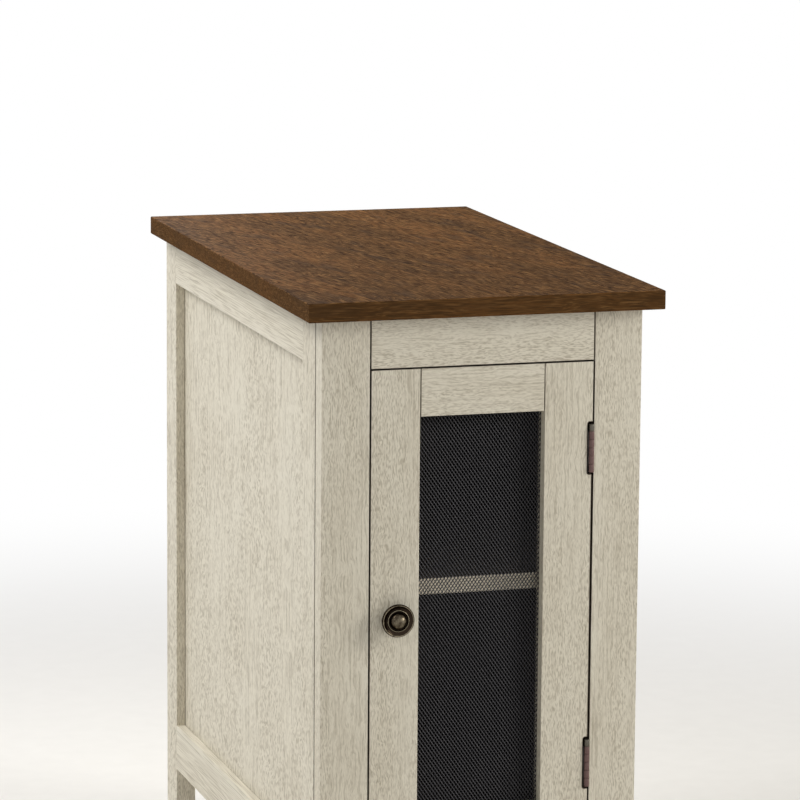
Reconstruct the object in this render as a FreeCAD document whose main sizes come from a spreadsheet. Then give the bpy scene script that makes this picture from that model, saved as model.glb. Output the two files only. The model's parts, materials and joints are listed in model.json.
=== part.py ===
import FreeCAD, Part
import math
import os
from types import SimpleNamespace

import Sketcher

# Narrow side table with a cupboard: a plank top on a frame-and-panel cabinet, with an inset mesh door.
# +X is to the right, +Y to the back and +Z up. The origin is on the floor, under the middle of the top.

# Driving dimensions in millimetres
SIZES = {
    # Whole table and its top
    "table_height": 610.0,
    "top_width": 310.0,
    "top_depth": 550.0,
    "top_thickness": 16.0,
    "top_front_overhang": 14.5,
    "top_side_overhang": 15.3,
    "top_arris": 0.6,
    # Rails of the four sides
    "leg_clearance": 85.5,
    "top_rail_height": 42.6,
    "bottom_rail_height": 42.5,
    # Front frame
    "front_board_thickness": 19.0,
    "front_stile_width": 41.3,
    "front_tenon_length": 12.0,
    "front_tenon_thickness": 6.0,
    "front_tenon_height": 28.0,
    "front_reveal_width": 1.3,
    "front_reveal_depth": 4.0,
    # Side frames with their panels
    "side_frame_thickness": 18.0,
    "front_post_width": 38.8,
    "back_post_width": 37.2,
    "side_panel_recess": 8.5,
    "side_panel_thickness": 5.0,
    "groove_depth": 8.0,
    # Back frame with its panel
    "back_rail_thickness": 18.0,
    "back_panel_recess": 8.5,
    "back_panel_thickness": 4.0,
    # Cabinet floor, shelf and what they lie on
    "floor_panel_thickness": 12.0,
    "cleat_section": 16.0,
    "shelf_thickness": 14.0,
    "shelf_underside": 352.3,
    "shelf_setback": 25.0,
    "shelf_edge_gap": 0.5,
    "shelf_pin_diameter": 5.0,
    "shelf_pin_length": 16.0,
    "shelf_pin_depth": 8.0,
    "shelf_pin_inset": 11.0,
    # Glides under the legs
    "glide_height": 3.0,
    "glide_diameter": 16.0,
    "glide_nail_diameter": 2.4,
    "glide_nail_length": 14.0,
    # Door
    "door_gap": 1.5,
    "door_thickness": 18.0,
    "door_stile_width": 42.2,
    "door_rail_height": 40.3,
    "door_tenon_length": 15.0,
    "door_tenon_thickness": 6.0,
    "door_tenon_height": 22.0,
    "door_tenon_setback": 3.0,
    "door_reveal_width": 0.9,
    "door_reveal_depth": 2.0,
    # Mesh and its beads
    "mesh_setback": 10.5,
    "mesh_thickness": 0.8,
    "mesh_lap": 7.0,
    "mesh_strand": 2.4,
    "bead_inset": 0.5,
    # Knob
    "knob_diameter": 28.4,
    "knob_height": 18.4,
    "knob_screw_diameter": 4.0,
    "knob_screw_grip": 8.0,
    "knob_screw_head_diameter": 8.5,
    "knob_screw_head_height": 2.4,
    # Hinges
    "hinge_inset": 51.6,
    "hinge_notch_height": 44.4,
    "hinge_notch_radius": 1.5,
    "hinge_end_room": 1.7,
    "hinge_proud": 0.6,
    "barrel_diameter": 4.6,
    "barrel_room": 0.9,
    "knuckle_height": 7.0,
    "leaf_width": 16.0,
    "leaf_thickness": 1.1,
    "pin_diameter": 2.0,
    "pin_head_diameter": 4.4,
    "pin_head_height": 6.0,
    # Magnetic catch
    "catch_width": 22.0,
    "catch_ear": 9.0,
    "catch_ear_thickness": 2.5,
    "catch_height": 14.0,
    "catch_depth": 24.0,
    "magnet_width": 18.0,
    "magnet_height": 9.0,
    "magnet_depth": 18.0,
    "magnet_proud": 0.6,
    "strike_width": 38.0,
    "strike_height": 10.0,
    "strike_thickness": 0.8,
    "strike_screw_spacing": 30.0,
    # Wood screws, small screws and dowels
    "wood_screw_diameter": 3.5,
    "wood_screw_length": 28.0,
    "wood_screw_head_diameter": 7.0,
    "wood_screw_head_height": 2.4,
    "small_screw_diameter": 2.4,
    "small_screw_length": 11.0,
    "small_screw_head_diameter": 4.6,
    "small_screw_head_height": 0.9,
    "dowel_diameter": 8.0,
    "dowel_length": 30.0,
    "dowel_front_depth": 12.0,
    # Clearances and the overrun of cuts
    "fit_clearance": 0.1,
    "hole_clearance": 0.05,
    "end_clearance": 0.5,
    "swing_clearance": 0.3,
    "cut_overrun": 2.0,
}

# Counts. Screws, nails, dowels and pins sit in the wood, so they have flat sides, as their holes have.
# So have the glides, which nobody sees.
KNUCKLES = 5
MESH_COLUMNS = 7
MESH_ROWS = 15
FASTENER_SIDES = 8
DOWEL_SIDES = 12
DOME_BANDS = 4

# Places of the fasteners, as shares of the lengths that they hold
cleat_screw_shares = (0.12, 0.88)
top_screw_shares = (0.3, 0.7)
leaf_screw_shares = (0.25, 0.75)
leaf_screw_depth_share = 0.62

# Half outline of the knob from its foot to the rim of its dome: radius and height as shares of the knob's.
# Foot, neck, rolled rim, cove, raised ring and the groove round the dome follow each other.
knob_outline_shares = (
    (0.563, 0.000),
    (0.563, 0.100),
    (0.400, 0.100),
    (0.400, 0.330),
    (0.930, 0.490),
    (1.000, 0.614),
    (0.940, 0.679),
    (0.790, 0.585),
    (0.655, 0.585),
    (0.655, 0.680),
    (0.590, 0.680),
    (0.590, 0.598),
    (0.528, 0.598),
)

SIDES = {"left": -1, "right": 1}

doc = FreeCAD.newDocument("StorageSideTable")
sheet = doc.addObject("Spreadsheet::Sheet", "Sizes")
for row, (alias, number) in enumerate(SIZES.items(), start=1):
    sheet.set(f"A{row}", alias)
    sheet.set(f"B{row}", str(number))
    sheet.setAlias(f"B{row}", alias)
doc.recompute()


class Length:
    """A length with its value and the formula that ties it to the sheet."""

    def __init__(self, formula, value):
        self.formula = formula
        self.value = value

    def __add__(self, other):
        other = as_length(other)
        return Length(f"({self.formula} + {other.formula})", self.value + other.value)

    def __sub__(self, other):
        other = as_length(other)
        return Length(f"({self.formula} - {other.formula})", self.value - other.value)

    def __mul__(self, factor):
        return Length(f"({self.formula} * {factor})", self.value * factor)

    def __truediv__(self, divisor):
        return Length(f"({self.formula} / {divisor})", self.value / divisor)

    def __neg__(self):
        return self * -1


def as_length(number):
    """Let a plain zero stand beside the named lengths."""
    return number if isinstance(number, Length) else Length(str(number), number)


size = SimpleNamespace(**{alias: Length(f"Sizes.{alias}", getattr(sheet, alias)) for alias in SIZES})

pieces = {}
corners = {}


def bind(thing, path, length):
    """Tie one property of a document object to the sheet."""
    thing.setExpression(path, as_length(length).formula)


def place(thing, spot):
    """Tie the three coordinates of a placement to the sheet."""
    for axis, coordinate in zip("xyz", spot):
        bind(thing, f"Placement.Base.{axis}", coordinate)


def keep(label, thing, corner):
    """Count a document object as a piece of the table."""
    thing.Label = label
    pieces[label] = thing
    corners[label] = [as_length(coordinate) for coordinate in corner]


def hold_point(sketch, geometry, point, spot):
    """Hold a sketch point at two named distances from the sketch's origin."""
    for kind, distance in zip(("DistanceX", "DistanceY"), spot):
        held = Sketcher.Constraint(kind, -1, 1, geometry, point, distance.value)
        number = sketch.addConstraint(held)
        bind(sketch, f"Constraints[{number}]", distance)


def new_sketch(body, role, level):
    """An empty sketch on one of the body's own planes, moved along the axis that the plane is square to."""
    sketch = body.newObject("Sketcher::SketchObject", f"{body.Name}_sketch")
    base = next(plane for plane in body.Origin.OriginFeatures if plane.Role == role)
    sketch.AttachmentSupport = [(base, "")]
    sketch.MapMode = "FlatFace"
    level = as_length(level)
    bind(sketch, "AttachmentOffset.Base.z", -level if role == "XZ_Plane" else level)
    return sketch


def draw_outline(sketch, outline):
    """A closed outline. A point of three parts lies on a round stretch between its two neighbours."""
    spots = [tuple(as_length(item) for item in entry[:2]) for entry in outline]
    vectors = [FreeCAD.Vector(across.value, along.value, 0) for across, along in spots]
    stations = [index for index, entry in enumerate(outline) if len(entry) == 2]
    ends = []
    for here, there in zip(stations, stations[1:] + stations[:1]):
        straight = (here + 1) % len(outline) == there
        if straight:
            edge = Part.LineSegment(vectors[here], vectors[there])
        else:
            edge = Part.Arc(vectors[here], vectors[here + 1], vectors[there])
        number = sketch.addGeometry(edge, False)
        # A sketch stores every arc anticlockwise, so its two ends may have changed places.
        forward = sketch.getPoint(number, 1).isEqual(vectors[here], size.hole_clearance.value)
        first, last = (1, 2) if forward else (2, 1)
        ends.append((number, first, last))
        hold_point(sketch, number, first, spots[here])
        if not straight:
            middle = sketch.addGeometry(Part.Point(vectors[here + 1]), True)
            hold_point(sketch, middle, 1, spots[here + 1])
            sketch.addConstraint(Sketcher.Constraint("PointOnObject", middle, 1, number))
    for (number, _, last), (follower, first, _) in zip(ends, ends[1:] + ends[:1]):
        sketch.addConstraint(Sketcher.Constraint("Coincident", number, last, follower, first))


def draw_circles(sketch, centres, diameter):
    """Circles of one diameter round the given centres."""
    for centre in centres:
        middle = FreeCAD.Vector(centre[0].value, centre[1].value, 0)
        ring = Part.Circle(middle, FreeCAD.Vector(0, 0, 1), diameter.value / 2)
        number = sketch.addGeometry(ring, False)
        hold_point(sketch, number, 3, centre)
        width = sketch.addConstraint(Sketcher.Constraint("Diameter", number, diameter.value))
        bind(sketch, f"Constraints[{width}]", diameter)


def draw_polygons(sketch, centres, diameter, sides):
    """Even-sided outlines round the given centres, with their corners on a circle of one diameter."""
    turns = [math.tau * (number + 0.5) / sides for number in range(sides)]
    corner_shares = [(math.cos(turn), math.sin(turn)) for turn in turns]
    for centre in centres:
        radius = diameter / 2
        draw_outline(sketch, [(centre[0] + radius * x, centre[1] + radius * y) for x, y in corner_shares])


def extrude(body, kind, sketch, length, backwards):
    """A pad or a pocket of one sketch."""
    feature = body.newObject(f"PartDesign::{kind}", f"{body.Name}_{kind.lower()}")
    feature.Profile = sketch
    bind(feature, "Length", length)
    feature.Reversed = backwards
    return feature


def rectangle(width, height):
    return [(0, 0), (width, 0), (width, height), (0, height)]


def local(label, spot):
    """A place in the table's frame as seen from the corner that a piece is placed by."""
    return [as_length(coordinate) - start for coordinate, start in zip(spot, corners[label])]


def board(label, low, high):
    """A square-edged board between its lowest and its highest corner."""
    body = doc.addObject("PartDesign::Body", label)
    keep(label, body, low)
    place(body, low)
    width, depth, height = local(label, high)
    sketch = new_sketch(body, "XY_Plane", 0)
    draw_outline(sketch, rectangle(width, depth))
    extrude(body, "Pad", sketch, height, False)
    return body


def block(label, kind, low, high):
    """Add a square block to a board, such as a tenon, or cut one out, such as a mortise or a groove."""
    body = pieces[label]
    near = local(label, low)
    far = local(label, high)
    sketch = new_sketch(body, "XY_Plane", near[2])
    outline = [(near[0], near[1]), (far[0], near[1]), (far[0], far[1]), (near[0], far[1])]
    draw_outline(sketch, outline)
    extrude(body, kind, sketch, far[2] - near[2], kind == "Pocket")


def drill(label, way, mouths, diameter, depth, sides=FASTENER_SIDES):
    """Holes of one depth, made the given way from mouths on one face."""
    body = pieces[label]
    spots = [local(label, mouth) for mouth in mouths]
    role, across, along, square = {
        "X": ("YZ_Plane", 1, 2, 0),
        "Y": ("XZ_Plane", 0, 2, 1),
        "Z": ("XY_Plane", 0, 1, 2),
    }[way[1]]
    sketch = new_sketch(body, role, spots[0][square])
    centres = [(spot[across], spot[along]) for spot in spots]
    draw_polygons(sketch, centres, diameter, sides)
    # A pocket runs against its sketch's normal, which points along -Y on the upright front plane.
    against_normal = way in ("-X", "+Y", "-Z")
    extrude(body, "Pocket", sketch, depth, not against_normal)


def turned(label, outline):
    """A lathe-turned form: an outline of radius and height, turned about the local Z axis."""
    body = doc.addObject("PartDesign::Body", label)
    sketch = new_sketch(body, "XZ_Plane", 0)
    draw_outline(sketch, outline)
    form = body.newObject("PartDesign::Revolution", f"{label}_turning")
    form.Profile = sketch
    form.ReferenceAxis = (sketch, ["V_Axis"])
    form.Angle = 360
    return body


def turn_z_to(way):
    """The rotation that takes the local Z axis to the given way."""
    ways = {"X": (1, 0, 0), "Y": (0, 1, 0), "Z": (0, 0, 1)}
    aim = FreeCAD.Vector(*ways[way[1]])
    if way[0] == "-":
        aim = aim * -1
    return FreeCAD.Rotation(FreeCAD.Vector(0, 0, 1), aim)


def group(label, pattern, seats):
    """Copies of one fastener as one piece: a seat is a spot in the table's frame and the way it points."""
    copies = []
    for spot, way in seats:
        copy = doc.addObject("App::Link", f"{label}_copy")
        copy.LinkedObject = pattern
        copy.Placement = FreeCAD.Placement(FreeCAD.Vector(), turn_z_to(way))
        place(copy, spot)
        copies.append(copy)
    gathered = doc.addObject("Part::Compound", label)
    gathered.Links = copies
    keep(label, gathered, (0, 0, 0))


def rod(body, diameter, low, high, sides):
    """An even-sided rod along the local Z axis of a body."""
    sketch = new_sketch(body, "XY_Plane", low)
    draw_polygons(sketch, [(as_length(0), as_length(0))], diameter, sides)
    extrude(body, "Pad", sketch, as_length(high) - low, False)


def screw(label, shank, length, head, head_height):
    """A screw with a flat head. Its local Z axis points the way it is driven, from the seat of its head."""
    body = doc.addObject("PartDesign::Body", label)
    rod(body, head, -head_height, 0, FASTENER_SIDES)
    rod(body, shank, 0, length, FASTENER_SIDES)
    return body


def side_span(side, inner, outer):
    """Lowest and highest x of a piece that lies between two distances from the middle, on one side."""
    inner = as_length(inner)
    outer = as_length(outer)
    return (inner, outer) if side > 0 else (-outer, -inner)


# Planes that the pieces share
over = size.cut_overrun
leg_foot = size.glide_height
top_underside = size.table_height - size.top_thickness
body_side = size.top_width / 2 - size.top_side_overhang
front_face = size.top_front_overhang - size.top_depth / 2
front_rear = front_face + size.front_board_thickness
back_face = size.top_depth / 2
stile_edge = body_side - size.front_stile_width
post_inner = body_side - size.side_frame_thickness
post_middle = body_side - size.side_frame_thickness / 2
front_post_rear = front_rear + size.front_post_width
back_post_front = back_face - size.back_post_width
top_rail_low = top_underside - size.top_rail_height
bottom_rail_low = size.leg_clearance
bottom_rail_top = size.leg_clearance + size.bottom_rail_height
rail_levels = {"top": (top_rail_low, top_underside), "bottom": (bottom_rail_low, bottom_rail_top)}

# Panel grooves: a groove is wider than its panel by the fit clearance on each side.
side_panel_outer = body_side - size.side_panel_recess
side_panel_inner = side_panel_outer - size.side_panel_thickness
side_groove = (side_panel_inner - size.fit_clearance, side_panel_outer + size.fit_clearance)
back_panel_rear = back_face - size.back_panel_recess
back_panel_front = back_panel_rear - size.back_panel_thickness
back_groove = (back_panel_front - size.fit_clearance, back_panel_rear + size.fit_clearance)
tongue = size.groove_depth - size.end_clearance

# Holes for fasteners
wood_screw_hole = size.wood_screw_diameter + size.hole_clearance * 2
wood_screw_reach = size.wood_screw_length - size.cleat_section
small_screw_hole = size.small_screw_diameter + size.hole_clearance * 2
dowel_hole = size.dowel_diameter + size.hole_clearance * 2

# Table top with a fine arris on its edges
half_width = size.top_width / 2
half_depth = size.top_depth / 2
top_low = (-half_width, -half_depth, top_underside)
top = board("top_panel", top_low, (half_width, half_depth, size.table_height))
plank = top.Tip
arris = top.newObject("PartDesign::Chamfer", "top_panel_arris")
arris.Base = (plank, [""])
arris.UseAllEdges = True
bind(arris, "Size", size.top_arris)

# Front frame: stiles down to the floor, with an apron and a bottom rail tenoned between them
front_middle = front_face + size.front_board_thickness / 2
tenon_front = front_middle - size.front_tenon_thickness / 2
tenon_rear = front_middle + size.front_tenon_thickness / 2
front_rails = {"front_apron": rail_levels["top"], "front_bottom_rail": rail_levels["bottom"]}
fit = size.fit_clearance

for name, side in SIDES.items():
    label = f"front_stile_{name}"
    left, right = side_span(side, stile_edge, body_side)
    board(label, (left, front_face, leg_foot), (right, front_rear, top_underside))
    mortise_end = stile_edge + size.front_tenon_length + size.end_clearance
    left, right = side_span(side, stile_edge - over, mortise_end)
    for low, high in front_rails.values():
        tenon_low = (low + high) / 2 - size.front_tenon_height / 2
        tenon_high = (low + high) / 2 + size.front_tenon_height / 2
        mortise_low = (left, tenon_front - fit, tenon_low - fit)
        mortise_high = (right, tenon_rear + fit, tenon_high + fit)
        block(label, "Pocket", mortise_low, mortise_high)

for label, (low, high) in front_rails.items():
    board(label, (-stile_edge, front_face, low), (stile_edge, front_rear, high))
    tenon_low = (low + high) / 2 - size.front_tenon_height / 2
    tenon_high = (low + high) / 2 + size.front_tenon_height / 2
    for side in SIDES.values():
        left, right = side_span(side, stile_edge, stile_edge + size.front_tenon_length)
        block(label, "Pad", (left, tenon_front, tenon_low), (right, tenon_rear, tenon_high))
        left, right = side_span(side, stile_edge - size.front_reveal_width, stile_edge + over)
        reveal_rear = front_face + size.front_reveal_depth
        block(label, "Pocket", (left, front_face - over, low - over), (right, reveal_rear, high + over))

# Side frames: posts and rails with a recessed panel in their grooves
for name, side in SIDES.items():
    left, right = side_span(side, post_inner, body_side)
    groove_left, groove_right = side_span(side, *side_groove)
    tongue_left, tongue_right = side_span(side, side_panel_inner, side_panel_outer)

    label = f"side_front_post_{name}"
    board(label, (left, front_rear, leg_foot), (right, front_post_rear, top_underside))
    groove_low = (groove_left, front_post_rear - size.groove_depth, bottom_rail_low)
    groove_high = (groove_right, front_post_rear + over, top_underside + over)
    block(label, "Pocket", groove_low, groove_high)

    label = f"side_back_post_{name}"
    board(label, (left, back_post_front, leg_foot), (right, back_face, top_underside))
    groove_low = (groove_left, back_post_front - over, bottom_rail_low)
    groove_high = (groove_right, back_post_front + size.groove_depth, top_underside + over)
    block(label, "Pocket", groove_low, groove_high)
    inner_left, inner_right = side_span(side, post_inner - over, post_inner + size.groove_depth)
    groove_low = (inner_left, back_groove[0], bottom_rail_low)
    groove_high = (inner_right, back_groove[1], top_underside + over)
    block(label, "Pocket", groove_low, groove_high)

    for level, (low, high) in rail_levels.items():
        label = f"side_{level}_rail_{name}"
        board(label, (left, front_post_rear, low), (right, back_post_front, high))
        tongue_low = low + size.groove_depth if level == "top" else low
        tongue_high = high if level == "top" else high - size.groove_depth
        front_low = (tongue_left, front_post_rear - tongue, tongue_low)
        block(label, "Pad", front_low, (tongue_right, front_post_rear, tongue_high))
        back_low = (tongue_left, back_post_front, tongue_low)
        block(label, "Pad", back_low, (tongue_right, back_post_front + tongue, tongue_high))
        groove_base = low - over if level == "top" else high - size.groove_depth
        groove_mouth = low + size.groove_depth if level == "top" else high + over
        groove_low = (groove_left, front_post_rear - over, groove_base)
        block(label, "Pocket", groove_low, (groove_right, back_post_front + over, groove_mouth))

    panel_low = (tongue_left, front_post_rear - tongue, bottom_rail_top - tongue)
    panel_high = (tongue_right, back_post_front + tongue, top_rail_low + tongue)
    board(f"side_panel_{name}", panel_low, panel_high)

# Back frame between the back posts
back_rail_front = back_face - size.back_rail_thickness
for level, (low, high) in rail_levels.items():
    label = f"back_{level}_rail"
    board(label, (-post_inner, back_rail_front, low), (post_inner, back_face, high))
    tongue_low = low + size.groove_depth if level == "top" else low
    tongue_high = high if level == "top" else high - size.groove_depth
    for side in SIDES.values():
        left, right = side_span(side, post_inner, post_inner + tongue)
        block(label, "Pad", (left, back_panel_front, tongue_low), (right, back_panel_rear, tongue_high))
    groove_base = low - over if level == "top" else high - size.groove_depth
    groove_mouth = low + size.groove_depth if level == "top" else high + over
    groove_low = (-post_inner - over, back_groove[0], groove_base)
    block(label, "Pocket", groove_low, (post_inner + over, back_groove[1], groove_mouth))

panel_low = (-post_inner - tongue, back_panel_front, bottom_rail_top - tongue)
panel_high = (post_inner + tongue, back_panel_rear, top_rail_low + tongue)
board("back_panel", panel_low, panel_high)

# Cabinet floor on its cleats, and the cleats that the top is screwed to
floor_low = bottom_rail_top - size.floor_panel_thickness
floor_side = post_inner - size.shelf_edge_gap
floor_rear = back_rail_front - size.shelf_edge_gap
board("bottom_panel", (-floor_side, front_rear, floor_low), (floor_side, floor_rear, bottom_rail_top))

cleat_inner = post_inner - size.cleat_section
cleat_length = back_post_front - front_post_rear
cleat_tops = {"top": top_underside, "bottom": floor_low}
for level, high in cleat_tops.items():
    for name, side in SIDES.items():
        left, right = side_span(side, cleat_inner, post_inner)
        cleat_low = (left, front_post_rear, high - size.cleat_section)
        board(f"{level}_cleat_{name}", cleat_low, (right, back_post_front, high))

# Screws through the cleats
wood_screw = screw(
    "wood_screw_pattern",
    size.wood_screw_diameter,
    size.wood_screw_length,
    size.wood_screw_head_diameter,
    size.wood_screw_head_height,
)
cleat_seats = []
top_seats = []
blind_depth = wood_screw_reach + size.end_clearance
through_cleat = size.cleat_section + over
for name, side in SIDES.items():
    outwards = "+X" if side > 0 else "-X"
    for level, high in cleat_tops.items():
        middle = high - size.cleat_section / 2
        stations = [front_post_rear + cleat_length * share for share in cleat_screw_shares]
        seats = [(cleat_inner * side, station, middle) for station in stations]
        cleat_seats += [(seat, outwards) for seat in seats]
        drill(f"{level}_cleat_{name}", outwards, seats, wood_screw_hole, through_cleat)
        mouths = [(post_inner * side, station, middle) for station in stations]
        drill(f"side_{level}_rail_{name}", outwards, mouths, wood_screw_hole, blind_depth)
    x_place = (post_inner - size.cleat_section / 2) * side
    stations = [front_post_rear + cleat_length * share for share in top_screw_shares]
    seats = [(x_place, station, top_underside - size.cleat_section) for station in stations]
    top_seats += [(seat, "+Z") for seat in seats]
    drill(f"top_cleat_{name}", "+Z", seats, wood_screw_hole, through_cleat)
    mouths = [(x_place, station, top_underside) for station in stations]
    drill("top_panel", "+Z", mouths, wood_screw_hole, blind_depth)
group("cleat_screws", wood_screw, cleat_seats)
group("top_screws", wood_screw, top_seats)

# Dowels between the front stiles and the side frames
dowel = doc.addObject("PartDesign::Body", "dowel_pattern")
rod(dowel, size.dowel_diameter, 0, size.dowel_length, DOWEL_SIDES)
dowel_levels = [(low + high) / 2 for low, high in rail_levels.values()]
dowel_levels.append((dowel_levels[0] + dowel_levels[1]) / 2)
dowel_seats = []
for name, side in SIDES.items():
    mouths = [(post_middle * side, front_rear, level) for level in dowel_levels]
    front_hole = size.dowel_front_depth + size.end_clearance
    rear_hole = size.dowel_length - size.dowel_front_depth + size.end_clearance
    drill(f"front_stile_{name}", "-Y", mouths, dowel_hole, front_hole, DOWEL_SIDES)
    drill(f"side_front_post_{name}", "+Y", mouths, dowel_hole, rear_hole, DOWEL_SIDES)
    for x_place, y_place, level in mouths:
        dowel_seats.append(((x_place, y_place - size.dowel_front_depth, level), "+Y"))
group("frame_dowels", dowel, dowel_seats)

# Shelf on four pins in the posts
shelf_side = post_inner - size.shelf_edge_gap
shelf_front = front_face + size.shelf_setback
shelf_rear = back_panel_front - size.shelf_edge_gap
shelf_top = size.shelf_underside + size.shelf_thickness
board("shelf", (-shelf_side, shelf_front, size.shelf_underside), (shelf_side, shelf_rear, shelf_top))

shelf_pin = doc.addObject("PartDesign::Body", "shelf_pin_pattern")
rod(shelf_pin, size.shelf_pin_diameter, 0, size.shelf_pin_length, DOWEL_SIDES)
pin_level = size.shelf_underside - size.shelf_pin_diameter / 2 - size.hole_clearance
pin_hole = size.shelf_pin_diameter + size.hole_clearance * 2
pin_stations = {"front": shelf_front + size.shelf_pin_inset, "back": shelf_rear - size.shelf_pin_inset}
pin_seats = []
for name, side in SIDES.items():
    outwards = "+X" if side > 0 else "-X"
    for end, station in pin_stations.items():
        mouth = (post_inner * side, station, pin_level)
        hole_depth = size.shelf_pin_depth + size.end_clearance
        drill(f"side_{end}_post_{name}", outwards, [mouth], pin_hole, hole_depth, DOWEL_SIDES)
        pin_start = (post_inner - size.shelf_pin_length + size.shelf_pin_depth) * side
        pin_seats.append(((pin_start, station, pin_level), outwards))
group("shelf_pins", shelf_pin, pin_seats)

# Nail-on glides under the four posts
glide = doc.addObject("PartDesign::Body", "glide_pattern")
rod(glide, size.glide_diameter, 0, size.glide_height, DOWEL_SIDES)
nail_tip = size.glide_height + size.glide_nail_length
rod(glide, size.glide_nail_diameter, size.glide_height, nail_tip, FASTENER_SIDES)
glide_stations = {
    "front": front_rear + size.front_post_width / 2,
    "back": back_face - size.back_post_width / 2,
}
glide_seats = []
nail_hole = size.glide_nail_diameter + size.hole_clearance * 2
for name, side in SIDES.items():
    for end, station in glide_stations.items():
        glide_seats.append(((post_middle * side, station, 0), "+Z"))
        mouth = (post_middle * side, station, leg_foot)
        hole_depth = size.glide_nail_length + size.end_clearance
        drill(f"side_{end}_post_{name}", "+Z", [mouth], nail_hole, hole_depth)
group("floor_glides", glide, glide_seats)

# Door frame: the rails are tenoned into the stiles, and a rebate at the back takes the mesh
door_edge = stile_edge - size.door_gap
door_top = top_rail_low - size.door_gap
door_low = bottom_rail_top + size.door_gap
door_back = front_face + size.door_thickness
opening_side = door_edge - size.door_stile_width
opening_top = door_top - size.door_rail_height
opening_low = door_low + size.door_rail_height
mesh_front = front_face + size.mesh_setback
recess_side = opening_side + size.mesh_lap
recess_top = opening_top + size.mesh_lap
recess_low = opening_low - size.mesh_lap
door_tenon_front = front_face + size.door_tenon_setback
door_tenon_rear = door_tenon_front + size.door_tenon_thickness
door_stiles = {"door_stile_knob_side": -1, "door_stile_hinge_side": 1}
door_rails = {"door_top_rail": (opening_top, door_top), "door_bottom_rail": (door_low, opening_low)}

for label, side in door_stiles.items():
    left, right = side_span(side, opening_side, door_edge)
    board(label, (left, front_face, door_low), (right, door_back, door_top))
    left, right = side_span(side, opening_side - over, recess_side)
    block(label, "Pocket", (left, mesh_front, recess_low), (right, door_back + over, recess_top))
    mortise_end = opening_side + size.door_tenon_length + size.end_clearance
    left, right = side_span(side, opening_side - over, mortise_end)
    for low, high in door_rails.values():
        tenon_low = (low + high) / 2 - size.door_tenon_height / 2
        tenon_high = (low + high) / 2 + size.door_tenon_height / 2
        mortise_low = (left, door_tenon_front - fit, tenon_low - fit)
        mortise_high = (right, door_tenon_rear + fit, tenon_high + fit)
        block(label, "Pocket", mortise_low, mortise_high)

for label, (low, high) in door_rails.items():
    board(label, (-opening_side, front_face, low), (opening_side, door_back, high))
    rebate_low = low - over if label == "door_top_rail" else recess_low
    rebate_high = recess_top if label == "door_top_rail" else high + over
    rebate_corner = (-opening_side - over, mesh_front, rebate_low)
    block(label, "Pocket", rebate_corner, (opening_side + over, door_back + over, rebate_high))
    tenon_low = (low + high) / 2 - size.door_tenon_height / 2
    tenon_high = (low + high) / 2 + size.door_tenon_height / 2
    for side in SIDES.values():
        left, right = side_span(side, opening_side - size.door_reveal_width, opening_side + over)
        reveal_rear = front_face + size.door_reveal_depth
        block(label, "Pocket", (left, front_face - over, low - over), (right, reveal_rear, high + over))
        left, right = side_span(side, opening_side, opening_side + size.door_tenon_length)
        block(label, "Pad", (left, door_tenon_front, tenon_low), (right, door_tenon_rear, tenon_high))


def door_mesh():
    """Diamond mesh as one sheet: a face with staggered diamond gaps, given its thickness."""
    margin = (size.mesh_lap - fit).value
    opening = ((opening_side * 2).value, (opening_top - opening_low).value)
    width, height = (opening[0] + margin * 2, opening[1] + margin * 2)
    strand = size.mesh_strand.value
    cell = (opening[0] / MESH_COLUMNS, opening[1] / MESH_ROWS)
    # A strand crosses a cell at a slant, so a gap is smaller than its cell by a strand's slanted width.
    slant = strand * math.hypot(*cell)
    reach = ((cell[0] - slant / cell[1]) / 2, (cell[1] - slant / cell[0]) / 2)
    rim = [(0, 0), (width, 0), (width, height), (0, height), (0, 0)]
    wires = [Part.makePolygon([FreeCAD.Vector(x, 0, z) for x, z in rim])]
    for row in range(2 * MESH_ROWS - 1):
        shifted = row % 2
        middle_z = margin + cell[1] * (row + 1) / 2
        for column in range(MESH_COLUMNS - shifted):
            middle_x = margin + cell[0] * (column + (1 + shifted) / 2)
            tips = [(-reach[0], 0), (0, -reach[1]), (reach[0], 0), (0, reach[1]), (-reach[0], 0)]
            gap = [FreeCAD.Vector(middle_x + x, 0, middle_z + z) for x, z in tips]
            wires.append(Part.makePolygon(gap))
    face = Part.makeFace(Part.makeCompound(wires), "Part::FaceMakerBullseye")
    return face.extrude(FreeCAD.Vector(0, size.mesh_thickness.value, 0))


# Mesh in the rebate, and the beads that hold it there
mesh = doc.addObject("Part::Feature", "door_mesh")
mesh.Shape = door_mesh()
mesh_corner = (-recess_side + fit, mesh_front, recess_low + fit)
keep("door_mesh", mesh, mesh_corner)
place(mesh, mesh_corner)

bead_front = mesh_front + size.mesh_thickness
bead_back = door_back - size.bead_inset
for name, side in SIDES.items():
    left, right = side_span(side, opening_side, recess_side - fit)
    bead_low = (left, bead_front, recess_low + fit)
    board(f"mesh_bead_{name}", bead_low, (right, bead_back, recess_top - fit))
bead_levels = {"top": (opening_top, recess_top - fit), "bottom": (recess_low + fit, opening_low)}
for level, (low, high) in bead_levels.items():
    bead_low = (-opening_side, bead_front, low)
    board(f"mesh_bead_{level}", bead_low, (opening_side, bead_back, high))

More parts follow.
